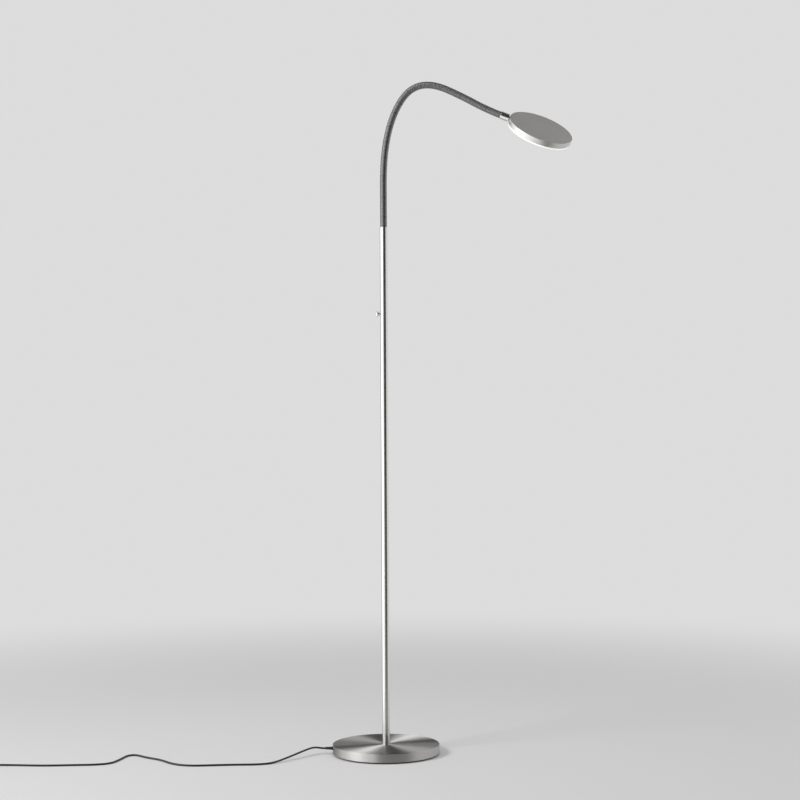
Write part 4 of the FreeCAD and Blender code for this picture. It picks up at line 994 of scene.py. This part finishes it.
    def make(self, with_pieces: Sequence[Piece], cord: Piece) -> None:
        """Args:
            with_pieces: The power supply's pieces; not used.
            cord: The cord; not used.
        """
        self.make_tie()


@dataclass
class PowerSupply:
    """The plug-in power supply on the cord's end: a case in two halves, with two pins."""

    cord_end: Place = (-0.900, -0.17825, 0.012)
    width: float = 40 * MM
    length: float = 62 * MM
    height: float = 24 * MM
    wall: float = 2 * MM
    edge_radius: float = 4 * MM
    rim_chamfer: float = 0.67 * MM
    seam: float = 0.25 * MM
    relief: GroovedTaper = GroovedTaper(-24 * MM, 0.0, 2.6 * MM, 4.5 * MM, 6, 3 * MM, 0.5 * MM, 0.2 * MM)
    relief_bore_radius: float = 2.05 * MM
    relief_root_radius: float = 3.15 * MM
    relief_root: float = 5.95 * MM
    pin_radius: float = 2 * MM
    pin_length: float = 19 * MM
    pin_round: float = 1.2 * MM
    pin_spacing: float = 18.6 * MM
    pin_root: float = 6 * MM
    sleeve_radius: float = 1.9 * MM
    sleeve_length: float = 10 * MM

    def place(self) -> Matrix:
        """The frame of the case, with +Z from the cord's end to the pins."""
        start = Vector(self.cord_end) + Vector((0, self.relief.low, 0))
        return Matrix.Translation(start) @ Matrix.Rotation(math.pi / 2, 4, "X")

    def make_half(self, name: str, node: str, side: int) -> Piece:
        """Make half of the case.

        Args:
            name: The piece's name.
            node: The built part that it is shown in place of.
            side: 1 for the upper half and -1 for the lower one.

        Returns:
            The half.
        """
        mesh = box((self.width, self.height, self.length), (0, 0, self.length / 2))
        lengthwise = [edge for edge in mesh.edges if extent(edge, 2) > self.length / 2]
        soften(mesh, lengthwise, self.edge_radius, segments=8)
        rims = [edge for edge in mesh.edges if extent(edge, 2) < SAME]
        soften(mesh, rims, self.rim_chamfer, segments=2)
        bmesh.ops.bisect_plane(
            mesh, geom=mesh.verts[:] + mesh.edges[:] + mesh.faces[:], plane_co=(0, side * self.seam / 2, 0),
            plane_no=(0, side, 0), clear_inner=True,
        )
        bmesh.ops.recalc_face_normals(mesh, faces=mesh.faces)
        half = as_object(mesh, name, self.place())
        apply_modifier(half, "SOLIDIFY", thickness=self.wall, offset=-1.0)
        even_shading(half)
        return dressed(half, [Palette.BLACK_PLASTIC], Body.STAND, node)

    def make_relief(self) -> Piece:
        """Make the tapered sleeve, with its root inside the case.

        Returns:
            The sleeve.
        """
        taper = self.relief
        outline = [
            (self.relief_bore_radius, taper.low),
            (taper.low_radius, taper.low),
            *taper.corners(),
            (taper.high_radius, taper.high),
            (self.relief_root_radius, taper.high),
            (self.relief_root_radius, self.relief_root),
            (self.relief_bore_radius, self.relief_root),
        ]
        rounds = [(taper.low_radius, taper.low, FINE_ROUND, 3)]
        relief = turned("supply_cord_sleeve", outline, steps=40, rounds=rounds, place=self.place())
        return dressed(relief, [Palette.RUBBER], Body.STAND, "supply_relief")

    def make_pins(self) -> list[Piece]:
        """Make the two contact pins and their sleeves.

        Returns:
            The pins and the sleeves.
        """
        bare = self.length + self.sleeve_length
        end = self.length + self.pin_length
        pin_outline = rod(self.pin_radius, bare, end)
        sleeve_outline = rod(self.sleeve_radius, self.length - self.pin_root, bare)
        rounds = [(self.pin_radius, end, self.pin_round, 5)]
        made = []
        for side, word in ((-1, "left"), (1, "right")):
            place = self.place() @ Matrix.Translation((side * self.pin_spacing / 2, 0, 0))
            pin = turned(
                f"supply_pin_{word}", pin_outline, steps=32, closed=False, rounds=rounds, place=place
            )
            made.append(dressed(pin, [Palette.PIN_BRASS], Body.STAND))
            sleeve = turned(f"supply_pin_sleeve_{word}", sleeve_outline, steps=32, closed=False, place=place)
            made.append(dressed(sleeve, [Palette.BLACK_PLASTIC], Body.STAND))
        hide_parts("supply_pins")
        return made

    def make(self) -> list[Piece]:
        """Make the whole power supply.

        Returns:
            Its pieces.
        """
        lower = self.make_half("supply_case_lower", "supply_base", -1)
        upper = self.make_half("supply_case_upper", "supply_cover", 1)
        return [lower, upper, self.make_relief(), *self.make_pins()]


# ---------------------------------------------------------------- base, pole and button


@dataclass
class LampBase:
    """The spun cover with its turned top, the pad under it and the bush that the cord leaves by."""

    radius: float = 113 * MM
    height: float = 17.8 * MM
    wall: float = 1.5 * MM
    edge_radius: float = 0.8 * MM
    lower_edge_radius: float = 0.35 * MM
    stud_hole_radius: float = 5.2 * MM
    pad_thickness: float = 3 * MM
    pad_radius: float = 105 * MM
    pad_round: float = 0.5 * MM
    pad_rings: int = 5
    pad_margin: float = 0.6  # share of a ring's spacing outside the last ring
    ring_depth: float = 0.4 * MM
    ring_reach: float = 1.2 * MM
    bush_root: float = 5.4 * MM
    bush_flange: float = 1 * MM
    bush_flange_radius: float = 4.0 * MM
    bush_bore_radius: float = 2.05 * MM
    bush_length: float = 15 * MM

    def make_cover(self) -> None:
        """Make the cover."""
        low, inner = self.pad_thickness, self.radius - self.wall
        top = low + self.height
        outline = [
            (self.stud_hole_radius, top),
            (self.radius, top),
            (self.radius, low),
            (inner, low),
            (inner, top - self.wall),
            (self.stud_hole_radius, top - self.wall),
        ]
        rounds = [(self.radius, top, self.edge_radius, 4), (self.radius, low, self.lower_edge_radius, 2)]
        cover = turned("base_cover_brushed", outline, steps=192, rounds=rounds, mapped=True, face_above=low)
        dressed(cover, [Palette.BASE_NICKEL, Palette.RIM_NICKEL], Body.STAND, "base_cover")

    def make_pad(self) -> None:
        """Make the pad, with shallow rings in its underside."""
        outline = [(0.0, 0.0)]
        for index in range(1, self.pad_rings + 1):
            middle = self.pad_radius * index / (self.pad_rings + self.pad_margin)
            outline += [
                (middle - self.ring_reach, 0.0),
                (middle - self.ring_reach / 2, self.ring_depth),
                (middle + self.ring_reach / 2, self.ring_depth),
                (middle + self.ring_reach, 0.0),
            ]
        outline += [(self.pad_radius, 0.0), (self.pad_radius, self.pad_thickness), (0.0, self.pad_thickness)]
        rounds = [(self.pad_radius, 0.0, self.pad_round, 3)]
        pad = turned("foam_foot_pad", outline, steps=128, closed=False, rounds=rounds)
        dressed(pad, [Palette.FOAM], Body.STAND, "base_pad")

    def make_bush(self) -> None:
        """Make the tapered bush on the -X side, along +Z from the pole's axis."""
        inner_end = self.radius - self.wall - self.bush_root
        start = self.radius + self.bush_flange
        taper = GroovedTaper(
            start, start + self.bush_length, 3.6 * MM, 2.5 * MM, grooves=4, margin=1.5 * MM,
            groove_depth=0.35 * MM, groove_flank=0.15 * MM,
        )
        outline = [
            (self.bush_bore_radius, inner_end),
            (taper.low_radius, inner_end),
            (taper.low_radius, self.radius),
            (self.bush_flange_radius, self.radius),
            (self.bush_flange_radius, taper.low),
            (taper.low_radius, taper.low),
            *taper.corners(),
            (taper.high_radius, taper.high),
            (self.bush_bore_radius, taper.high),
        ]
        rounds = [
            (self.bush_flange_radius, taper.low, FINE_ROUND, 3),
            (taper.high_radius, taper.high, SMALL_ROUND, 2),
        ]
        exit_height = self.pad_thickness + self.height / 2
        place = Matrix.Translation((0, 0, exit_height)) @ Matrix.Rotation(-math.pi / 2, 4, "Y")
        bush = turned("cord_exit_bush", outline, steps=40, rounds=rounds, place=place)
        dressed(bush, [Palette.RUBBER], Body.STAND, "cord_bush")

    def make(self) -> None:
        """Make the base's pieces."""
        self.make_cover()
        self.make_pad()
        self.make_bush()


@dataclass(frozen=True)
class SetScrew:
    """A headless screw with a hexagon socket, along +Z of its frame."""

    name: str
    node: str
    radius: float
    inner_end: float
    outer_end: float
    socket_depth: float = 1.2 * MM

    def make(self, place: Matrix, body: Body) -> None:
        """Make the screw.

        Args:
            place: Its frame.
            body: The body that it rides on.
        """
        outline = rod(self.radius, self.inner_end, self.outer_end)
        rounds = [(self.radius, self.outer_end, FINE_ROUND, 2)]
        bottom = self.outer_end - self.socket_depth
        cuts = [(prism(6, self.radius / math.sqrt(3), bottom, self.outer_end + OVERCUT), place)]
        screw = turned(self.name, outline, steps=32, closed=False, rounds=rounds, place=place, cuts=cuts)
        dressed(screw, [Palette.SPRING_STEEL], body, self.node)


@dataclass
class Pole:
    """The slim tube, and the screw at its back that locks the neck."""

    foot: float = 20.8 * MM
    top: float = 1115.3 * MM
    radius: float = 8 * MM
    wall: float = 1.2 * MM
    screw_drop: float = 12 * MM
    screw_hole_radius: float = 2.2 * MM
    screw: SetScrew = SetScrew("neck_lock_screw", "neck_set_screw", 2 * MM, 5.25 * MM, 7.8 * MM)

    def make(self) -> None:
        """Make the tube and the screw."""
        bore = self.radius - self.wall
        outline = [(bore, self.foot), (self.radius, self.foot), (self.radius, self.top), (bore, self.top)]
        rounds = [(self.radius, self.top, FINE_ROUND, 2)]
        place = Matrix.Translation((0, 0, self.top - self.screw_drop)) @ Matrix.Rotation(-math.pi / 2, 4, "X")
        cuts = [(prism(HOLE_SIDES, self.screw_hole_radius, bore - OVERCUT, self.radius + OVERCUT), place)]
        tube = turned("pole_brushed", outline, steps=72, rounds=rounds, mapped=True, cuts=cuts)
        dressed(tube, [Palette.POLE_NICKEL], Body.STAND, "pole")
        self.screw.make(place, Body.STAND)


@dataclass
class PushButton:
    """The push button on the -X side of the pole, with its bushing and spring."""

    height: float = 930.8 * MM
    bushing_radius: float = 4 * MM
    bushing_inner_end: float = 4.5 * MM
    bushing_bore_radius: float = 2.06 * MM
    collar_radius: float = 4.6 * MM
    collar_start: float = 6.5 * MM
    collar_face: float = 10 * MM
    collar_round: float = 0.4 * MM
    cap_radius: float = 5.5 * MM
    cap_back: float = 11.8 * MM
    cap_end: float = 16.5 * MM
    cap_round: float = 1.6 * MM
    dish_radius: float = 3.41 * MM
    dish_depth: float = 0.25 * MM
    pocket_radius: float = 3.9 * MM
    pocket_depth: float = 2.2 * MM
    shaft_radius: float = 2 * MM
    shaft_tip: float = 3.3 * MM
    clip_groove: Span = (3.7 * MM, 4.3 * MM)
    clip_groove_depth: float = 0.4 * MM
    travel: float = 1.5 * MM
    spring_radius: float = 3.1 * MM
    spring_wire_radius: float = 0.3 * MM
    spring_turns: int = 3
    steps_per_turn: int = 28
    wire_sides: int = 10

    def place(self) -> Matrix:
        """The button's frame, with +Z out of the pole."""
        return Matrix.Translation((0, 0, self.height)) @ Matrix.Rotation(-math.pi / 2, 4, "Y")

    def make_bushing(self) -> None:
        """Make the bushing with its collar."""
        outline = [
            (self.bushing_bore_radius, self.bushing_inner_end),
            (self.bushing_radius, self.bushing_inner_end),
            (self.bushing_radius, self.collar_start),
            (self.collar_radius, self.collar_start),
            (self.collar_radius, self.collar_face),
            (self.bushing_bore_radius, self.collar_face),
        ]
        rounds = [(self.collar_radius, self.collar_face, self.collar_round, 3)]
        bushing = turned("button_collar", outline, steps=48, rounds=rounds, mapped=True, place=self.place())
        dressed(bushing, [Palette.BUTTON_METAL], Body.STAND, "button_bush")

    def make_cap(self) -> None:
        """Make the button with its shaft and its slightly dished end."""
        groove_radius = self.shaft_radius - self.clip_groove_depth
        pocket_floor = self.cap_back + self.pocket_depth
        outline = [
            (0.0, self.shaft_tip),
            (self.shaft_radius, self.shaft_tip),
            (self.shaft_radius, self.clip_groove[0]),
            (groove_radius, self.clip_groove[0]),
            (groove_radius, self.clip_groove[1]),
            (self.shaft_radius, self.clip_groove[1]),
            (self.shaft_radius, pocket_floor),
            (self.pocket_radius, pocket_floor),
            (self.pocket_radius, self.cap_back),
            (self.cap_radius, self.cap_back),
            (self.cap_radius, self.cap_end),
            (self.dish_radius, self.cap_end),
            (0.0, self.cap_end - self.dish_depth),
        ]
        rounds = [
            (self.cap_radius, self.cap_end, self.cap_round, 6),
            (self.cap_radius, self.cap_back, FINE_ROUND, 2),
        ]
        cap = turned(
            "push_button_cap", outline, steps=56, closed=False, rounds=rounds, mapped=True, place=self.place()
        )
        dressed(cap, [Palette.BUTTON_METAL], Body.BUTTON, "switch_button")

    def make_spring(self) -> None:
        """Wind the return spring."""
        mesh = bmesh.new()
        steps = self.steps_per_turn * self.spring_turns
        low = self.collar_face + self.spring_wire_radius
        high = self.cap_back + self.pocket_depth - self.spring_wire_radius
        bmesh.ops.create_circle(
            mesh, cap_ends=False, segments=self.wire_sides, radius=self.spring_wire_radius
        )
        for axis in "YXZ":
            quarter = Matrix.Rotation(math.pi / 2, 3, axis)
            bmesh.ops.rotate(mesh, verts=mesh.verts, cent=(0, 0, 0), matrix=quarter)
        bmesh.ops.translate(mesh, verts=mesh.verts, vec=(0, self.spring_radius, low))
        bmesh.ops.spin(
            mesh, geom=mesh.verts[:] + mesh.edges[:], cent=(0, 0, 0), axis=(0, 0, 1),
            dvec=(0, 0, (high - low) / steps), angle=math.tau * self.spring_turns, steps=steps,
            use_merge=False, use_duplicate=False,
        )
        bmesh.ops.holes_fill(mesh, edges=mesh.edges, sides=self.wire_sides)
        bmesh.ops.recalc_face_normals(mesh, faces=mesh.faces)
        spring = as_object(mesh, "button_return_spring", self.place())
        dressed(spring, [Palette.SPRING_STEEL], Body.STAND, "button_spring")
        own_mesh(spring)

    def make(self) -> None:
        """Make the button's pieces."""
        self.make_bushing()
        self.make_cap()
        self.make_spring()


# ---------------------------------------------------------------- neck


@dataclass
class BendableNeck:
    """The ribbed neck, as sleeves that each bend across one joint, with the lead inside."""

    start_height: float = 1115.3 * MM
    # The neck's stretches from the pole to the head: their ribs, and the degrees by which
    # each leans further over.
    sections: tuple[tuple[int, float], ...] = (
        (14, 0.0), (15, 0.0), (14, 3.0), (12, 4.5), (11, 5.5), (11, 7.0), (9, 7.5), (6, 6.5),
        (5, 9.0), (5, 13.0), (5, 15.0), (5, 15.0), (8, 17.5), (9, 10.5), (20, 4.5), (21, -7.0),
    )
    pitch: float = 3 * MM
    crest_radius: float = 7.4 * MM
    root_radius: float = 6.5 * MM
    bore_radius: float = 2.9 * MM
    rib_fullness: float = 0.8  # below 1, the ribs are fuller than a plain wave
    points_per_rib: int = 8
    steps: int = 44
    lead_radius: float = 1.8 * MM
    lead_steps: int = 16
    lead_start: float = -158.5 * MM  # below the pole's top, at the switch board
    lead_overrun: float = 9.6 * MM  # past the neck's end, in the ferrule
    # At these joints the ends that a piece meets are listed from the upper body to the lower one; at the
    # others, from the lower body up.
    joints_named_downwards: frozenset[int] = frozenset({9, 12, 15})

    def arc(self, length: float, turn: float, distance: float) -> Matrix:
        """Follow the centreline of one stretch, in the stretch's own frame.

        Args:
            length: The stretch's length.
            turn: The degrees that it leans over.
            distance: How far along it.

        Returns:
            The frame there.
        """
        if turn == 0.0:
            return Matrix.Translation((0, 0, distance))
        radius = length / math.radians(turn)
        lean = math.radians(turn) * distance / length
        point = (radius * (1 - math.cos(lean)), 0, radius * math.sin(lean))
        return Matrix.Translation(point) @ Matrix.Rotation(lean, 4, "Y")

    def frame_at(self, distance: float) -> Matrix:
        """Find a frame on the neck's centreline.

        Args:
            distance: How far along from the pole's top; it may be before the start or past the end.

        Returns:
            The frame, with +Z along the neck.
        """
        place = Matrix.Translation((0, 0, self.start_height))
        left = distance
        for ribs, turn in self.sections:
            length = ribs * self.pitch
            if left <= length:
                return place @ self.arc(length, turn, left)
            place = place @ self.arc(length, turn, length)
            left -= length
        return place @ Matrix.Translation((0, 0, left))

    def length(self) -> float:
        """The neck's length."""
        return sum(ribs for ribs, _ in self.sections) * self.pitch

    def seams(self) -> list[float]:
        """Find the sleeves' ends.

        Returns:
            Their distances: both ends of the neck, and the middle of each stretch.
        """
        places = [0.0]
        start = 0
        for ribs, _ in self.sections:
            places.append((start + ribs // 2) * self.pitch)
            start += ribs
        return [*places, self.length()]

    def bend_onto_line(self, mesh: Mesh) -> None:
        """Carry a straight mesh, built along +Z, onto the neck's centreline.

        Args:
            mesh: The mesh.
        """
        frames: dict[float, Matrix] = {}
        for vertex in mesh.verts:
            distance = round(vertex.co.z, 7)
            if distance not in frames:
                frames[distance] = self.frame_at(distance)
            vertex.co = frames[distance] @ Vector((vertex.co.x, vertex.co.y, 0.0))

    def sleeve(self, low: float, high: float) -> Mesh:
        """Make one ribbed sleeve.

        Args:
            low: Where it starts along the neck.
            high: Where it ends.

        Returns:
            The sleeve, on the neck's line.
        """
        ribs = round((high - low) / self.pitch)
        outline = []
        for index in range(ribs * self.points_per_rib + 1):
            share = index / self.points_per_rib % 1.0
            swell = math.sin(math.pi * share) ** self.rib_fullness if share > 0 else 0.0
            radius = self.root_radius + (self.crest_radius - self.root_radius) * swell
            outline.append((radius, low + index * self.pitch / self.points_per_rib))
        outline += [(self.bore_radius, high - index * self.pitch) for index in range(ribs + 1)]
        mesh = spun(outline, self.steps)
        map_turning(mesh)
        self.bend_onto_line(mesh)
        return mesh

    def lead(self, low: float, high: float) -> Mesh:
        """Make one stretch of the lead.

        Args:
            low: Where it starts along the neck.
            high: Where it ends.

        Returns:
            The stretch, on the neck's line.
        """
        count = max(1, round((high - low) / self.pitch))
        outline = [(0.0, low)]
        outline += [(self.lead_radius, low + (high - low) * index / count) for index in range(count + 1)]
        outline.append((0.0, high))
        mesh = spun(outline, self.lead_steps, closed=False)
        self.bend_onto_line(mesh)
        return mesh

    def bend_between(self, piece: Piece, joint: int, low: float, high: float) -> None:
        """Find where a piece that spans one joint meets the bodies on either side, then bake its place into
        its mesh.

        Args:
            piece: The piece.
            joint: The number of the neck body above the joint.
            low: Where the piece starts along the neck.
            high: Where it ends.
        """
        first, last = self.frame_at(low), self.frame_at(high)
        start, end = first.translation, last.translation
        along = (end - start).normalized()
        lower_inset = self.crest_radius * first.col[2].xyz.cross(along).length
        upper_inset = self.crest_radius * last.col[2].xyz.cross(along).length
        below = Body.STAND.value if joint == 2 else f"neck_{joint - 1:02d}"
        ends = [(below, start + along * lower_inset), (f"neck_{joint:02d}", end - along * upper_inset)]
        if joint in self.joints_named_downwards:
            ends.reverse()
        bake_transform(piece)

    def make(self) -> None:
        """Make the sleeves and the lead's stretches."""
        seams = self.seams()
        last = len(seams) - 2
        for index, (low, high) in enumerate(zip(seams, seams[1:])):
            body = {0: Body.STAND, last: Body.NECK_END}.get(index)
            number = index + 1
            sleeve = as_object(self.sleeve(low, high), f"neck_sleeve_{number:02d}")
            dressed(sleeve, [Palette.NECK_STEEL], body)
            if index < last:
                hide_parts(f"neck_section_{number:02d}")
            lead_low = self.lead_start if index == 0 else low
            lead_high = high + self.lead_overrun if index == last else high
            lead = as_object(self.lead(lead_low, lead_high), f"neck_lead_{number:02d}")
            dressed(lead, [Palette.LEAD], body)
            if index == 0:
                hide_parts("neck_lead")
            if body is None:
                self.bend_between(sleeve, number, low, high)
                self.bend_between(lead, number, low, high)


# ---------------------------------------------------------------- ferrule and head


@dataclass
class LampHead:
    """The ferrule on the neck's end, the swivel stem, the flat shell and its lit diffuser."""

    swivel: Matrix
    roll: float = 29.4
    ferrule_radius: float = 8.3 * MM
    ferrule_length: float = 19 * MM
    ferrule_chamfer: float = 0.5 * MM
    ferrule_bore_radius: float = 6.25 * MM
    ferrule_end_wall: float = 5 * MM
    screw_hole_radius: float = 1.55 * MM
    screw: SetScrew = SetScrew("swivel_friction_screw", "ferrule_set_screw", 1.5 * MM, 3.31 * MM, 8.1 * MM)
    stem_radius: float = 3.2 * MM
    stem_clearance: float = 0.06 * MM
    stem_bore_radius: float = 2.0 * MM
    stem_span: Span = (10.2 * MM, 29.5 * MM)
    shoulder_radius: float = 5 * MM
    shoulder: Span = (19.3 * MM, 20.45 * MM)
    clip_groove: Span = (12.6 * MM, 13.6 * MM)
    clip_groove_depth: float = 0.6 * MM
    centre_distance: float = 90.5 * MM
    radius: float = 70 * MM
    top: float = 6.5 * MM
    bottom: float = -5.3 * MM
    plate: float = 1.8 * MM
    wall: float = 2 * MM
    edge_chamfer: float = 0.5 * MM
    lip_radius: float = 69 * MM
    lip_top: float = -5.35 * MM
    lip_bottom: float = -8.9 * MM
    lip_round: float = 1 * MM
    diffuser_plate: float = 2.2 * MM
    spigot_radius: float = 67.8 * MM
    spigot_wall: float = 1.8 * MM
    spigot_top: float = -0.35 * MM
    notch_depth: float = 18 * MM
    notch_width: float = 18 * MM
    steps: int = 176

    def head_place(self) -> Matrix:
        """The head's frame, with +X out along the swivel and +Z out of the upper face."""
        shift = Matrix.Translation((0, 0, self.centre_distance)) @ Matrix.Rotation(-math.pi / 2, 4, "Y")
        return self.swivel @ shift @ Matrix.Rotation(math.radians(self.roll), 4, "X")

    def make_ferrule(self) -> None:
        """Make the ferrule and its set screw."""
        length, wall_low = self.ferrule_length, self.ferrule_length - self.ferrule_end_wall
        stem_hole = self.stem_radius + self.stem_clearance
        outline = [
            (self.ferrule_bore_radius, 0.0),
            (self.ferrule_radius, 0.0),
            (self.ferrule_radius, length),
            (stem_hole, length),
            (stem_hole, wall_low),
            (self.ferrule_bore_radius, wall_low),
        ]
        rounds = [(self.ferrule_radius, level, self.ferrule_chamfer, 2) for level in (0.0, length)]
        screw_shift = Matrix.Translation((0, 0, length - self.ferrule_end_wall / 2))
        screw_place = self.swivel @ screw_shift @ Matrix.Rotation(math.pi / 2, 4, "X")
        cuts = [(prism(HOLE_SIDES, self.screw_hole_radius, 0.0, self.ferrule_radius + OVERCUT), screw_place)]
        ferrule = turned(
            "neck_end_ferrule", outline, steps=72, rounds=rounds, mapped=True, place=self.swivel, cuts=cuts
        )
        dressed(ferrule, [Palette.FERRULE_NICKEL], Body.NECK_END, "neck_ferrule")
        self.screw.make(screw_place, Body.NECK_END)

    def make_stem(self) -> None:
        """Make the hollow stem that the head swivels on."""
        low, high = self.stem_span
        groove_radius = self.stem_radius - self.clip_groove_depth
        outline = [
            (self.stem_bore_radius, low),
            (self.stem_radius, low),
            (self.stem_radius, self.clip_groove[0]),
            (groove_radius, self.clip_groove[0]),
            (groove_radius, self.clip_groove[1]),
            (self.stem_radius, self.clip_groove[1]),
            (self.stem_radius, self.shoulder[0]),
            (self.shoulder_radius, self.shoulder[0]),
            (self.shoulder_radius, self.shoulder[1]),
            (self.stem_radius, self.shoulder[1]),
            (self.stem_radius, high),
            (self.stem_bore_radius, high),
        ]
        rounds = [(self.shoulder_radius, self.shoulder[0], SMALL_ROUND, 2)]
        stem = turned("head_swivel_stem", outline, steps=56, rounds=rounds, place=self.swivel)
        dressed(stem, [Palette.ZINC], Body.HEAD, "swivel_stem")

    def make_shell(self) -> None:
        """Make the shell, with a satin face and a turned rim."""
        inner, plate_low = self.radius - self.wall, self.top - self.plate
        outline = [
            (0.0, self.top),
            (self.radius, self.top),
            (self.radius, self.bottom),
            (inner, self.bottom),
            (inner, plate_low),
            (0.0, plate_low),
        ]
        rounds = [
            (self.radius, self.top, self.edge_chamfer, 3),
            (self.radius, self.bottom, self.edge_chamfer, 2),
        ]
        shell = turned(
            "head_shell_satin", outline, self.steps, closed=False, rounds=rounds, mapped=True,
            face_above=plate_low, place=self.head_place(),
        )
        dressed(shell, [Palette.HEAD_FACE, Palette.HEAD_RIM], Body.HEAD, "head_shell")

    def make_diffuser(self) -> None:
        """Make the lit diffuser, with the notch round the stem's nut."""
        plate_top = self.lip_bottom + self.diffuser_plate
        spigot_inner = self.spigot_radius - self.spigot_wall
        outline = [
            (0.0, self.lip_bottom),
            (self.lip_radius, self.lip_bottom),
            (self.lip_radius, self.lip_top),
            (self.spigot_radius, self.lip_top),
            (self.spigot_radius, self.spigot_top),
            (spigot_inner, self.spigot_top),
            (spigot_inner, plate_top),
            (0.0, plate_top),
        ]
        rounds = [
            (self.lip_radius, self.lip_bottom, self.lip_round, 4),
            (self.lip_radius, self.lip_top, SMALL_ROUND, 2),
        ]
        notch_size = (self.notch_depth, self.notch_width, self.top - self.lip_top)
        middle = (self.notch_depth / 2 - self.radius, 0, (self.top + self.lip_top) / 2)
        cuts = [(box(notch_size, (0, 0, 0)), self.head_place() @ Matrix.Translation(middle))]
        diffuser = turned(
            "opal_diffuser", outline, self.steps, closed=False, rounds=rounds, place=self.head_place(),
            cuts=cuts,
        )
        dressed(diffuser, [Palette.OPAL], Body.HEAD, "diffuser")

    def make(self) -> None:
        """Make the ferrule, the stem and the head."""
        self.make_ferrule()
        self.make_stem()
        self.make_shell()
        self.make_diffuser()


# ---------------------------------------------------------------- inner pieces


@dataclass
class InnerPieces:
    """The parts inside the lamp that keep their built shape and get their finish."""

    finishes: tuple[tuple[Finish, tuple[str, ...]], ...] = (
        (Palette.CAST_IRON, ("base_weight",)),
        (Palette.ZINC, (
            "foot_stud", "foot_nut", "foot_washer", "cord_clamp", "clamp_screws", "pole_foot", "neck_socket",
            "stem_nut", "board_screws",
        )),
        (Palette.CORD, ("pole_lead",)),
        (Palette.WHITE_PLASTIC, ("board_carrier", "led_board", "reflector", "head_terminal")),
        (Palette.LAMINATE, ("switch_board", "supply_board")),
        (Palette.BLACK_PLASTIC, ("push_switch",)),
        (Palette.SPRING_STEEL, ("button_clip", "swivel_clip")),
        (Palette.CHIP, ("led_chips",)),
        (Palette.LEAD, ("head_lead",)),
    )

    def dress(self) -> None:
        """Give each inner part its finish."""
        for finish, names in self.finishes:
            for name in names:
                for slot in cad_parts[name].material_slots:
                    slot.material = finish.material()
                LOG.info("%s: %s", name, finish.name)


# ---------------------------------------------------------------- the whole


def main() -> None:
    """Make the scene, from the camera and the cord to the inner parts."""
    logging.basicConfig(level=logging.INFO, format="%(name)s: %(message)s")
    studio = Studio()
    studio.make_camera()
    cord = SupplyCord()
    line = cord.make_cord()
    cord.make(PowerSupply().make(), line)
    LampBase().make()
    Pole().make()
    PushButton().make()
    neck = BendableNeck()
    neck.make()
    LampHead(swivel=neck.frame_at(neck.length())).make()
    InnerPieces().dress()
    studio.make()


if __name__ == "__main__":
    main()
